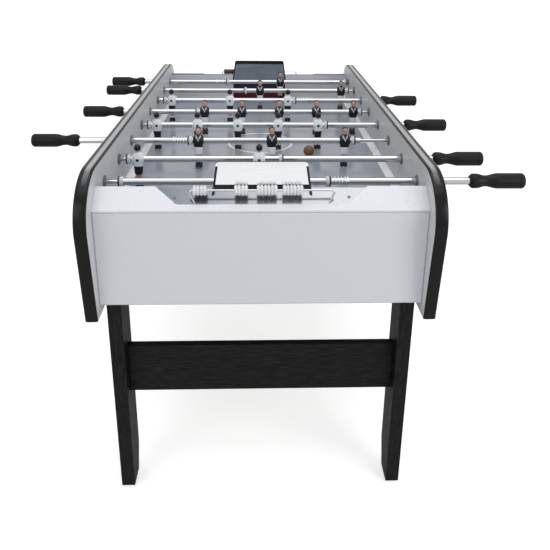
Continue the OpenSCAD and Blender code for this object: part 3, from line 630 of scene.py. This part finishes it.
eye_dark = moulded("painted eye", (0.01, 0.008, 0.008), 0.3, 0.1, 900, 0.01)
lip_red = moulded("painted lips", (0.35, 0.10, 0.09), 0.4, 0.05, 900, 0.01)
bead_milky = milky_bead("milky bead", (0.86, 0.87, 0.90), 0.30)
bead_brown = milky_bead("brown bead", (0.06, 0.036, 0.024), 0.05)
ball_cork = cork()
tray_lining = pocket_lining()
chest_black = v_shirt()


# ---- Rods ----

def rod_facts(i):
    """Where rod i is: the middle of its men, its line, the side its grip is on, and how far along
    the rod the tube's open end and the grip lie from that middle."""
    low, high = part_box(f"rod_{i}_men")
    tube_low, tube_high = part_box(f"rod_{i}_tube")
    grip_low, grip_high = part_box(f"rod_{i}_handle")
    core_low, core_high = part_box(f"rod_{i}_inner")
    x = (low.x + high.x) / 2
    side = 1 if grip_low.x > x else -1
    open_end = (x - tube_low.x) if side > 0 else (tube_high.x - x)
    grip = (grip_low.x - x) if side > 0 else (x - grip_high.x)
    return {"x": x, "y": (core_low.y + core_high.y) / 2, "side": side, "open": -open_end, "grip": grip}


def half_span(i):
    """Half the distance between the outer men of a rod."""
    return GAP[MEN[i]] * (MEN[i] - 1) / 2


def grip_collar(i):
    """Distance from the middle of the men to the collar on the grip side."""
    if MEN[i] == 1:
        return KEEPER_COLLAR
    return half_span(i) + (PAIR_COLLAR if MEN[i] == 2 else MAN_HALF + MAN_PLAY)


def on_rod(patch, rod):
    """A patch drawn about X from the middle of the men, put on its rod, +X towards the grip."""
    return moved(patch, (rod["x"], rod["y"], ROD_Z), mirror_x=rod["side"] < 0)


def coil(start, length, mean_r, wire, turns):
    """Helix about X whose pitch closes up over the first and last half turn."""
    n = turns * 36 + 1
    t = np.linspace(0, 1, n)
    ease = 0.5 / turns
    ground = np.clip(t / ease, 0, 1) * np.clip((1 - t) / ease, 0, 1)
    rise = np.cumsum(0.15 + 0.85 * ground)
    rise = (rise - rise[0]) / (rise[-1] - rise[0])
    x = start + wire + (length - 2 * wire) * rise
    a = TURN * turns * t
    return np.stack([x, mean_r * np.cos(a), mean_r * np.sin(a)], -1)


def grip_profile():
    """Grip outline as (distance, radius): flare, waist, barrel, groove and round end.
    The neck and the barrel follow the square of a cosine and of a sine."""
    length, r, waist = GRIP_L, GRIP_R, GRIP_WAIST
    flare = r * 0.95
    t = np.linspace(0, 1, 13)
    lip = [(0.0, 0.0), (0.0, TUBE_R + 0.003), (0.0015, flare - 0.0045), (0.004, flare - 0.0015),
           (0.007, flare), (0.013, flare)]
    neck = [(0.015 + 0.021 * k, waist + (flare - waist) * math.cos(k * math.pi / 2) ** 2) for k in t]
    palm = [(0.036 + 0.028 * k, waist + (r - waist) * math.sin(k * math.pi / 2) ** 2) for k in t[1:]]
    groove = [(length - 0.0160, r), (length - 0.0152, r - 0.0008), (length - 0.0142, r - 0.0010),
              (length - 0.0132, r - 0.0008), (length - 0.0124, r)]
    end_r = 0.007
    cap = [(length - end_r + end_r * math.sin(a), r - end_r + end_r * math.cos(a))
           for a in np.linspace(0, math.pi / 2, 9)]
    return lip + neck + palm + groove + cap + [(length, 0.0)]


def grub_screw(at):
    """Short screw flush in a collar: a turned disc with its axis brought from X to Z."""
    points, groups = lathe([(0, 0), (0, 0.0016), (0.001, 0.0016), (0.001, 0)], 12)
    return np.stack([points[:, 1] + at, points[:, 2], points[:, 0] + COLLAR_R - 0.0007], -1), groups


def buffer_spring(start):
    """Spring from there towards the grip, with a washer at its free end."""
    mean_r = TUBE_R + SPRING_WIRE + 0.0004
    line = coil(start, SPRING_L - 0.0016, mean_r, SPRING_WIRE, SPRING_TURNS)
    washer = bushing(start + SPRING_L - 0.0015, start + SPRING_L, TUBE_R, TUBE_R + 0.0035, 0.0004)
    return tube_along(line, SPRING_WIRE, 10), washer


def build_rod(i):
    """Rod i, from its tube's open end to its grip, all turned about the rod's line. A collar stands
    between each rubber disc and the men; on a rod of three the tube runs on past its outer disc."""
    rod, body = rod_facts(i), f"rod_{i}"

    def piece(kind, parts, stands_for=()):
        """A piece of this rod, out of parts drawn along X from the middle of the men."""
        layers = [(on_rod(patch, rod), finish) for patch, finish in parts]
        make_piece(f"{body}_{kind}", layers, body, stands_for)

    runs_on = MEN[i] == 3
    collar = grip_collar(i)
    stop = rod["open"] + (TRIO_RUN if runs_on else 0)
    outer, inner = stop + DISC_T, collar + COLLAR_L
    tube_from, tube_to = (rod["open"] if runs_on else outer), rod["grip"] + TUBE_IN_GRIP
    wall = [(tube_from, BORE_R), (tube_from, TUBE_R - 0.0003), (tube_from + 0.0003, TUBE_R),
            (tube_to, TUBE_R), (tube_to, BORE_R)]
    piece("chromed_tube", [(hollow_lathe(wall, 56), tube_chrome)], stands_for=[f"rod_{i}_tube"])
    collars = [bushing(outer, outer + COLLAR_L, TUBE_R, COLLAR_R, 0.0012),
               bushing(collar, inner, TUBE_R, COLLAR_R, 0.0012),
               bushing(tube_from + 0.0002, tube_from + BUSH_L, CORE_R + RUNNING_GAP, BORE_R, 0.0003)]
    screws = [grub_screw(at + COLLAR_L / 2) for at in (outer, collar)]
    piece("stop_collars", [(c, collar_white) for c in collars] + [(g, screw_black) for g in screws])
    discs = [bushing(stop, outer, TUBE_R if runs_on else CORE_R + 0.0005, DISC_R, 0.0009),
             bushing(inner, inner + DISC_T, TUBE_R, DISC_R, 0.0009)]
    piece("rubber_discs", [(d, disc_black) for d in discs])
    if i in SPRUNG:
        piece("buffer_spring", [(p, spring_steel) for p in buffer_spring(inner + DISC_T)])
    handle = moved(lathe(grip_profile(), 64), (rod["grip"], 0, 0))
    piece("grip", [(handle, grip_black)], [f"rod_{i}_handle"])
    build_players(i, rod, body)
    dress(f"rod_{i}_inner", core_steel)


# ---- Players ----

# Level sections of the figure in millimetres: z, centre x, centre y, half width, half depth, power
TORSO = [(-17, 0, 0, 11.9, 9.0, 2.7), (-15.8, 0, 0, 12.5, 9.8, 2.7), (-10, 0, 0, 12.7, 10.6, 2.8),
         (-4, 0, 0, 13.2, 11.6, 2.9), (2, 0, 0, 13.7, 12.0, 2.9), (8, 0, 0, 13.3, 10.8, 2.7),
         (12, 0, -0.2, 12.2, 9.0, 2.5), (15, 0, -0.5, 9.8, 7.2, 2.3), (17.2, 0, -0.6, 6.4, 5.4, 2.1),
         (18.6, 0, -0.6, 4.6, 4.5, 2.0)]
NECK = [(15, 0, -0.6, 4.4, 4.5, 2.0), (18, 0, -0.4, 4.0, 4.3, 2.0), (21, 0, -0.2, 4.2, 4.6, 2.0)]
SHORTS = [(-38.4, 0, 0.2, 8.2, 7.2, 2.8), (-37.2, 0, 0.2, 9.1, 8.1, 3.0), (-32, 0, 0.2, 9.8, 8.9, 3.0),
          (-24, 0, 0, 10.7, 9.4, 2.9), (-17, 0, 0, 11.2, 9.3, 2.8), (-15.6, 0, 0, 10.8, 8.6, 2.8)]
LEG = [(-62, 4.8, 0.6, 3.9, 4.6, 2.2), (-56, 4.7, 0.4, 3.3, 4.1, 2.1), (-50, 4.6, 0.1, 3.7, 4.8, 2.1),
       (-44, 4.5, 0.2, 3.9, 5.2, 2.2), (-36, 4.5, 0.3, 4.1, 5.8, 2.3)]
SOCK = [(-62.5, 4.8, 0.6, 4.4, 5.1, 2.2), (-57, 4.75, 0.4, 3.8, 4.6, 2.1),
        (-53.5, 4.7, 0.2, 3.9, 4.9, 2.1)]
ARM = [(-14.6, 12.2, 3.4, 1.5, 1.9, 2.0), (-12.8, 12.2, 3.2, 2.0, 2.8, 2.2),
       (-9.0, 12.1, 2.4, 1.8, 2.4, 2.2),
       (-2, 12.2, 1.0, 1.9, 2.5, 2.2), (4, 12.0, 0.2, 2.2, 2.8, 2.2)]
SLEEVE = [(0.5, 11.9, 0.6, 2.4, 3.4, 2.3), (5, 11.6, 0.1, 2.8, 3.9, 2.3),
          (10, 10.8, -0.3, 2.9, 3.9, 2.2),
          (13.6, 9.4, -0.5, 2.4, 3.2, 2.0), (15.0, 8.6, -0.5, 1.5, 2.0, 2.0)]
SHOE = [(-72.4, 5.0, 1.1, 4.3, 8.2, 3.4), (-71.4, 5.0, 1.1, 4.7, 8.8, 3.4),
        (-67, 4.95, 1.1, 4.8, 8.9, 3.0), (-63.5, 4.9, 0.7, 4.7, 7.4, 2.6),
        (-60.6, 4.8, 0.4, 4.5, 5.6, 2.3), (-59.6, 4.8, 0.3, 3.9, 4.8, 2.1)]
HEAD = [(17.2, 0, 1.0, 2.4, 3.0, 2.0), (18.4, 0, 1.1, 4.0, 4.9, 2.0), (21, 0, 0.8, 5.6, 6.6, 2.1),
        (24.5, 0, 0.3, 6.8, 7.7, 2.1), (28.5, 0, -0.1, 7.4, 8.2, 2.1), (32.5, 0, -0.3, 7.1, 7.9, 2.0),
        (35.4, 0, -0.4, 5.6, 6.3, 2.0), (37.0, 0, -0.4, 3.4, 3.8, 2.0), (37.7, 0, -0.4, 1.0, 1.2, 2.0)]
HAIR = [(23.4, 0, -3.4, 5.6, 4.6, 2.1), (24.6, 0, -3.0, 7.0, 5.6, 2.1), (28.5, 0, -2.0, 7.9, 6.8, 2.1),
        (31.5, 0, -1.2, 7.9, 7.8, 2.1), (34.0, 0, -0.8, 7.0, 7.6, 2.0), (36.2, 0, -0.5, 5.0, 5.6, 2.0),
        (37.6, 0, -0.5, 2.6, 3.0, 2.0), (38.0, 0, -0.5, 0.8, 1.0, 2.0)]


def v_neck(points):
    """How far each point of the chest lies inside the V-shaped band, from 0 well outside to 1 well
    inside: half the band's width less the distance to the line z = 4 + 1.5 |x|."""
    x, y, z = points.T
    off = np.abs(z - (4.0 + 1.5 * np.abs(x))) / 1.6
    return np.clip(0.5 + np.where((y > 3) & (np.abs(x) < 7.5), 2.0 - off, -2.0), 0, 1)


def both(keys, rows, count):
    """A limb and its mirror image on the other side of the body."""
    one = limb(keys, rows, count)
    return [one, moved(one, mirror_x=True)]


def player_layers(white):
    """One figure that faces +Y, in millimetres about the rod, as (patch, material) layers."""
    shirt, shorts = (kit_white, kit_black) if white else (kit_black, kit_white)
    layers = [(limb(TORSO, 30, 36), shirt if white else chest_black), (limb(SHORTS, 16, 32), shorts),
              (limb(NECK, 7, 20), skin)]
    layers += [(p, skin) for p in both(LEG, 14, 16)] + [(p, shirt) for p in both(SOCK, 8, 16)]
    layers += [(p, shoe_black) for p in both(SHOE, 14, 20)]
    layers += [(p, skin) for p in both(ARM, 12, 12)] + [(p, shirt) for p in both(SLEEVE, 10, 14)]
    boss = lathe([(-14.4, 0), (-14.4, 9.0), (-13.6, 9.8), (13.6, 9.8), (14.4, 9.0), (14.4, 0)], 32)
    layers.append((boss, shirt))
    layers += [(limb(HEAD, 22, 28), skin), (limb(HAIR, 18, 26), hair),
               (egg((0, 8.4, 26.6), (1.1, 1.5, 1.9), 7, 10), skin)]
    layers += [(egg((s * 7.2, 0.4, 27.4), (0.9, 1.7, 2.2), 7, 10), skin) for s in (-1, 1)]
    layers += [(egg((s * 2.9, 7.4, 29.0), (1.05, 0.75, 0.7), 5, 8), eye_dark) for s in (-1, 1)]
    layers.append((egg((0, 7.2, 22.9), (1.9, 0.8, 0.5), 5, 10), lip_red))
    dot, groups = lathe([(0, 0), (0, 3.7), (1.6, 3.8), (2.1, 3.4), (2.1, 1.8), (1.9, 1.6),
                         (1.9, 0)], 24)
    back = np.stack([dot[:, 1], -dot[:, 0] - 10.3, dot[:, 2]], -1)
    layers.append((outward(back, groups), screw_black))
    return layers


def build_players(i, rod, body):
    """The men of rod i, side by side at even gaps: white ones face the far goal, and black ones are
    turned half round."""
    white = i in WHITE_RODS
    figure = player_layers(white)
    layers, bands = [], []
    for k in range(MEN[i]):
        at = (rod["x"] + (k * GAP[MEN[i]] - half_span(i)), rod["y"], ROD_Z)
        for patch, finish in figure:
            layers.append((moved(patch, at, MM, half_turn=not white), finish))
            bands.append(v_neck(patch[0]) if finish is chest_black else np.zeros(len(patch[0])))
    make_piece(f"{body}_players", layers, body, [f"rod_{i}_men"], 50,
               ("band", np.concatenate(bands)))


for number in RODS:
    build_rod(number)


# ---- Cabinet ----

NOSE_R, NOSE_Y, NOSE_Z, LEAN = 0.105, 0.579, 0.739, math.radians(6)
PANEL_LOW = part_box("side_panel_right")[0].z
STRIP_H = 0.003
STRIP_LIP = 0.0015


def panel_edge():
    """Line round a side panel's top and ends, with the outward direction at each point."""
    a = np.linspace(math.pi / 2, -LEAN, 40)
    tip = np.array([NOSE_Y + NOSE_R * math.cos(LEAN), NOSE_Z - NOSE_R * math.sin(LEAN)])
    foot = np.array([tip[0] - (tip[1] - PANEL_LOW) * math.tan(LEAN), PANEL_LOW])
    t = np.linspace(0, 1, 12)[1:, None]
    arc = np.stack([NOSE_Y + NOSE_R * np.cos(a), NOSE_Z + NOSE_R * np.sin(a)], -1)
    drop = tip + (foot - tip) * t
    out = np.concatenate([np.stack([np.cos(a), np.sin(a)], -1),
                          np.tile([math.cos(LEAN), -math.sin(LEAN)], (len(t), 1))])
    right = np.concatenate([arc, drop])
    top = np.linspace(-NOSE_Y, NOSE_Y, 40)[1:-1]
    flat = np.stack([top, np.full(len(top), NOSE_Z + NOSE_R)], -1)
    left, left_out = right[::-1] * [-1, 1], out[::-1] * [-1, 1]
    line = np.concatenate([left, flat, right])
    normal = np.concatenate([left_out, np.tile([0.0, 1.0], (len(top), 1)), out])
    return line, normal


def strip_section():
    """Section of the edge strip as (across, out of the edge): flat crown, round shoulders and
    a lip outside."""
    wide, tall, lip = PANEL_T + STRIP_LIP, STRIP_H, 0.0025
    shoulder = [(0.0, 0.0), (0.0002, 0.0010), (0.0010, 0.0019), (0.0028, 0.0026), (0.0060, tall)]
    crown = shoulder + [(wide - across, out) for across, out in reversed(shoulder)]
    crown += [(wide, -lip + 0.0004), (wide - 0.0004, -lip), (PANEL_T + 0.0001, -lip), (PANEL_T, 0.0)]
    return np.array(crown)


def build_edge_strips():
    """Edge strips: the section carried round the panel's edge, out along its outward direction."""
    line, normal = panel_edge()
    section = strip_section()
    x = HALF_W + section[:, 0]
    points = line[:, None] + normal[:, None] * section[None, :, 1:]
    rings = np.stack([np.broadcast_to(x, points.shape[:2]), points[..., 0], points[..., 1]], -1)
    patch = loft(rings)
    for name, flip in (("right", False), ("left", True)):
        layers = [(moved(patch, mirror_x=flip), edge_black)]
        make_piece(f"edge_strip_{name}", layers, "table", [f"side_trim_{name}"], 50)


def build_boards():
    """Boards, covers and legs: eased copies of the solids, or the solids with their finish."""
    for name in ("left", "right"):
        dress(f"side_panel_{name}", side_grey)
    for name in ("near", "far"):
        eased_copy(f"end_panel_{name}", f"end_board_{name}", [end_white], 0.0008)
    eased_copy("end_tops", "end_covers", [cover_white], 0.0007)
    eased_copy("goal_boards", "goal_walls", [board_grey], 0.0006)
    eased_copy("field_ramps", "corner_strips", [strip_white], 0.0006)
    eased_copy("leg_posts", "leg_uprights", [leg_upright], 0.0012)
    eased_copy("leg_crossboards", "leg_crosspieces", [leg_across], 0.0012)
    dress("end_plates", plate_steel)
    dress("goal_pockets", tray_lining)
    dress("playing_field", field_gloss)
    dress("field_markings", line_white)
    dress("cabinet_bottom", under_board)
    dress("foot_glides", glide_black)


def build_hoods():
    """Hood frames, whose inner panel has its own finish, and the bright sheets over them."""
    def panel_or_rim(centre, normal):
        """1 for faces that look along Y on the leaning inner plane of the frame, 0 for the rest."""
        face = HALF_L - np.maximum(0, centre[:, 2] - HOOD_PIVOT) * math.tan(HOOD_LEAN)
        depth = np.abs(centre[:, 1]) - face
        inner = (np.abs(depth - 0.001) < 0.0004) & (np.abs(normal[:, 1]) > 0.9)
        return np.where(inner, 1, 0)

    eased_copy("goal_frames", "hood_frames", [frame_black, frame_panel],
               0.0004, panel_or_rim)
    eased_copy("goal_hoods", "hood_sheets", [hood_bright], 0.0004)


def wire_path(end):
    """Score wire: up through the plate leaning outwards, round a bend, across and down again."""
    half, bend = WIRE_HALF, WIRE_BEND
    leg = (WIRE_Z - ROD_Z - bend + 0.016) / math.cos(WIRE_SPLAY)
    a = np.linspace(math.pi / 2, -WIRE_SPLAY, 18)
    turn = np.stack([half - bend + bend * np.cos(a), WIRE_Z - bend + bend * np.sin(a)], -1)
    t = np.linspace(0, leg, 9)[1:, None]
    down = turn[-1] - t * [math.sin(WIRE_SPLAY), math.cos(WIRE_SPLAY)]
    across = np.stack([np.linspace(0, half - bend, 12)[:-1], np.full(11, WIRE_Z)], -1)
    right = np.concatenate([across, turn, down])
    whole = np.concatenate([(right * [-1, 1])[::-1][:-1], right])
    return np.stack([whole[:, 0], np.full(len(whole), end * WIRE_Y), whole[:, 1]], -1)


def bead_profile():
    """Bead on its wire as (distance, radius): two round ribs, each a power of a sine."""
    s = np.linspace(0.0002, BEAD_L - 0.0002, 41)
    u = (s - s[0]) / (s[-1] - s[0])
    r = BEAD_R * (0.72 + 0.28 * np.abs(np.sin(TURN * u)) ** 0.75)
    hole = WIRE_R + RUNNING_GAP
    return [(s[0], hole)] + list(zip(s, r)) + [(s[-1], hole)]


# Rows of beads: distance of each row from the left bend, and its number of beads
BEAD_ROWS = {"near_left": [(0.001, 2)], "near_right": [(0.085, 2), (0.131, 3), (0.184, 3)],
             "far_left": [(0.001, 3)], "far_right": [(0.098, 2), (0.153, 2), (0.189, 3)]}


def build_counters():
    """The two score wires and their beads, side by side in rows."""
    wires = [(tube_along(wire_path(end), WIRE_R, 14), wire_chrome) for end in (-1, 1)]
    make_piece("counter_wires", wires, "table", ["score_wires"])
    bead = hollow_lathe(bead_profile(), 40)
    for group, rows in BEAD_ROWS.items():
        near = group.startswith("near")
        tone, finish, y = ("white", bead_milky, -WIRE_Y) if near else ("brown", bead_brown, WIRE_Y)
        places = [FIRST_BEAD + at + k * BEAD_L for at, count in rows for k in range(count)]
        layers = [(moved(bead, (x, y, WIRE_Z)), finish) for x in places]
        make_piece(f"counter_beads_{group}", layers, f"counter_{group}",
                   [f"beads_{group}"])


def build_bearings():
    """Per rod and side: a flange with a round rim inside, a sleeve and a ring outside. A bearing on
    the side away from the grip is closed outside."""
    layers = []
    for i in RODS:
        rod = rod_facts(i)
        for side in (-1, 1):
            f, r, closed = FLANGE_T, FLANGE_R, side != rod["side"]
            bore = (CORE_R if closed else TUBE_R) + RUNNING_GAP
            body = [(-f, bore), (-f, r * 0.62), (-f * 0.8, r * 0.80), (-f * 0.5, r * 0.95),
                    (-f * 0.2, r), (0.0, r), (0.0002, SLEEVE_R), (PANEL_T - 0.0002, SLEEVE_R),
                    (PANEL_T, r), (PANEL_T + RING_T * 0.6, r), (PANEL_T + RING_T, r * 0.86)]
            if closed:
                body += [(PANEL_T + RING_T, 0.0005), (PANEL_T - 0.0005, 0.0005),
                         (PANEL_T - 0.0005, bore)]
            else:
                body += [(PANEL_T + RING_T, bore)]
            patch = moved(hollow_lathe(body, 40), (HALF_W, 0, 0))
            layers.append((moved(patch, (0, rod["y"], ROD_Z), mirror_x=side < 0), bearing_black))
    make_piece("rod_bearing_set", layers, "table", ["rod_bearings"], 35)


def build_bolts():
    """Carriage bolts: a domed head outside, a washer and a six-sided nut inside."""
    inside = HALF_W - POST_T
    head = [(SIDE_OUT + 0.0045 * math.sin(a), BOLT_HEAD_R * math.cos(a))
            for a in np.linspace(0, math.pi / 2, 8)]
    shaft = [(inside - 0.0090, 0.0), (inside - 0.0090, BOLT_R - 0.0006), (inside - 0.0083, BOLT_R),
             (SIDE_OUT, BOLT_R)]
    bolt = lathe(shaft + head, 32)
    washer = bushing(inside - 0.0015, inside, BOLT_R, BOLT_HEAD_R, 0.0003, 32)
    nut = hollow_lathe([(inside - depth, r) for depth, r in (
        (0.0085, BOLT_R), (0.0085, 0.0066), (0.0080, 0.0075),
        (0.0020, 0.0075), (0.0015, 0.0066), (0.0015, BOLT_R))], 6)
    layers = [(moved(p, (0, y, z), mirror_x=flip), bolt_black) for y in (-POST_Y, POST_Y)
              for z in BOLT_ROWS for flip in (False, True) for p in (bolt, washer, nut)]
    make_piece("leg_bolt_set", layers, "table", ["leg_bolts"], 30)


def build_ball():
    """The ball: a sphere that fills its solid's box."""
    low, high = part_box("ball")
    r = (high.z - low.z) / 2
    patch = egg(tuple((low + high) / 2), (r, r, r), 33, 48)
    make_piece("match_ball", [(patch, ball_cork)], "ball", ["ball"])


def build_window_shade_lines():
    """Painted shade: a thin grey cord where the end cover meets the plate, standing in for the shadow
    line at the cover's edge; a round cord along the window's two slanting edges and its lower edge. A
    quadratic curve rounds each corner between two edges."""
    low, reach = SLOPE_L - WINDOW_RIM, 0.008
    upper = np.array([WINDOW_W / 2 - 0.0042, 0.003])
    corner = np.array([WINDOW_LOW_W / 2 - 0.0092, low - 0.0007])
    along = (upper - corner) / np.linalg.norm(upper - corner)
    start, end = corner + along * reach, corner - [reach, 0]
    t = np.linspace(0, 1, 12)[:, None]
    bend = (1 - t) ** 2 * start + 2 * t * (1 - t) * corner + t ** 2 * end
    right = np.concatenate([upper + (start - upper) * np.linspace(0, 1, 8)[:-1, None], bend])
    line = np.concatenate([right, (right * [-1, 1])[::-1]])
    layers = []
    for side in (-1, 1):
        v = line[:, 1]
        y = HALF_L + v * math.cos(SLOPE) + SHADE_LINE_R * math.sin(SLOPE)
        z = PLATE_Z - v * math.sin(SLOPE) + SHADE_LINE_R * math.cos(SLOPE)
        cord = tube_along(np.stack([line[:, 0], side * y, z], -1), SHADE_LINE_R, 8)
        layers.append((cord, shade_line_grey))
    make_piece("painted_shade_lines", layers, "table")


def build_plate_screws():
    """Low domed screws that hold the plates: each dome is turned about the slope's own normal."""
    a = np.linspace(0, math.pi / 2, 7)
    profile = [(-0.0005, 0.0), (-0.0005, 0.0032), (0.0003, 0.0034)]
    profile += [(0.0003 + 0.0012 * math.sin(k), 0.0033 * math.cos(k)) for k in a]
    dome, groups = lathe(profile, 20)
    layers = []
    for side in (-1, 1):
        out = np.array([0.0, side * math.sin(SLOPE), math.cos(SLOPE)])
        down = np.array([0.0, side * math.cos(SLOPE), -math.sin(SLOPE)])
        for x in (-SCREW_X, SCREW_X):
            seat = np.array([x, side * HALF_L, PLATE_Z]) + SCREW_DOWN * down
            points = seat + dome[:, :1] * out + dome[:, 1:2] * [1.0, 0, 0] + dome[:, 2:] * down
            layers.append((outward(points, groups), screw_steel))
    make_piece("plate_screws", layers, "table")


build_edge_strips()
build_window_shade_lines()
build_plate_screws()
build_boards()
build_hoods()
build_counters()
build_bearings()
build_bolts()
build_ball()


# ---- Studio ----

FLOOR_LIFT = 0.55
WORLD_LEVEL = 0.50
WHITE = (1, 1, 1, 1)


def build_floor():
    """Wide pale sheet under the table: it takes the shadow, and turns white with distance."""
    sheet = bpy.data.meshes.new("studio floor")
    sheet.from_pydata([(-40, -40, 0), (40, -40, 0), (40, 40, 0), (-40, 40, 0)], [], [(0, 1, 2, 3)])
    f = Finish("white paper", (0.82, 0.82, 0.82), 0.9, spec=0.0)
    sheet.materials.append(f.mat)
    ray = f.node("ShaderNodeLightPath").outputs
    reach = f.node("ShaderNodeVectorMath", operation="LENGTH")
    f.link(f.coordinates(), reach.inputs[0])
    reach = reach.outputs["Value"]
    seen = f.combine("MULTIPLY", ray["Is Camera Ray"], f.spread(reach, 2.0, 9.0, FLOOR_LIFT, 1.2))
    mirrored = f.combine("MULTIPLY", ray["Is Glossy Ray"], f.spread(reach, 1.5, 7.0, 0.0, FLOOR_LIFT))
    glow = f.node("ShaderNodeEmission", Color=WHITE)
    f.link(f.combine("MAXIMUM", seen, mirrored), glow.inputs["Strength"])
    add = f.node("ShaderNodeAddShader")
    f.link(f.shader.outputs[0], add.inputs[0])
    f.link(glow.outputs[0], add.inputs[1])
    f.link(add.outputs[0], f.tree.nodes["Material Output"].inputs["Surface"])
    new_object("studio_floor", sheet)


def build_world():
    """Plain white to the camera, an even dimmer light on the table, and a soft sky in the reflections:
    it brightens from the horizon upwards and dims towards the right and towards the far side."""
    world = bpy.data.worlds.new("studio")
    bpy.context.scene.world = world
    f = Nodes(world)
    back = f.tree.nodes["Background"]
    back.inputs["Color"].default_value = WHITE
    ray = f.node("ShaderNodeLightPath").outputs
    way = f.parts(f.coordinates("Generated"))

    def blend(factor, a, b):
        """a where the factor is 0 and b where it is 1, each a number or an output."""
        made = f.node("ShaderNodeMix")
        f.link(factor, made.inputs["Factor"])
        for value, slot in ((a, 2), (b, 3)):
            if isinstance(value, float):
                made.inputs[slot].default_value = value
            else:
                f.link(value, made.inputs[slot])
        return made.outputs[0]

    up_and_across = f.combine("MULTIPLY", f.spread(way["Z"], -0.1, 0.5, 0.95, 1.1),
                              f.spread(way["X"], -0.8, 0.8, 1.0, 0.86))
    sky = f.combine("MULTIPLY", up_and_across, f.spread(way["Y"], 0.2, 0.95, 1.0, 0.78))
    mirrored = f.combine("MAXIMUM", ray["Is Glossy Ray"], ray["Is Transmission Ray"])
    reflected = blend(mirrored, WORLD_LEVEL, sky)
    f.link(blend(ray["Is Camera Ray"], reflected, 1.0), back.inputs["Strength"])


def add_softbox(name, place, aim, size, watts):
    """A lit rectangle that faces the point it aims at."""
    light = bpy.data.lights.new(name, "AREA")
    light.shape = "RECTANGLE"
    light.size, light.size_y = size
    light.energy = watts
    obj = new_object(name, light)
    obj.location = place
    obj.rotation_euler = (Vector(aim) - Vector(place)).to_track_quat("-Z", "Y").to_euler()


def build_camera():
    """Camera in front of the near end, above the rods, looking down along the table."""
    yaw, pitch, roll = (math.radians(a) for a in (1.875, 18.0, 0.581))
    level = math.cos(pitch)
    forward = Vector((math.sin(yaw) * level, math.cos(yaw) * level, -math.sin(pitch)))
    right = Vector((math.cos(yaw), -math.sin(yaw), 0))
    up = right.cross(forward)
    right, up = (right * math.cos(roll) + up * math.sin(roll),
                 up * math.cos(roll) - right * math.sin(roll))
    matrix = Matrix((right, up, -forward)).transposed().to_4x4()
    matrix.translation = (-0.0122, -1.767, 1.277)
    camera = bpy.data.cameras.new("camera")
    camera.sensor_width = 36
    camera.lens = 39.48
    camera.shift_y = -0.2356
    camera.clip_end = 100
    obj = new_object("camera", camera)
    obj.matrix_world = matrix
    bpy.context.scene.camera = obj


build_floor()
build_world()
add_softbox("overhead", (0.0, -0.3, 3.6), (0, 0, 0.6), (3.0, 3.0), 48)
add_softbox("front left", (-2.4, -3.4, 2.4), (0, 0, 0.6), (2.4, 2.0), 30)
add_softbox("front right", (2.8, -3.0, 2.0), (0, 0, 0.6), (2.2, 2.0), 53)
build_camera()

bpy.context.scene.view_settings.view_transform = "Standard"
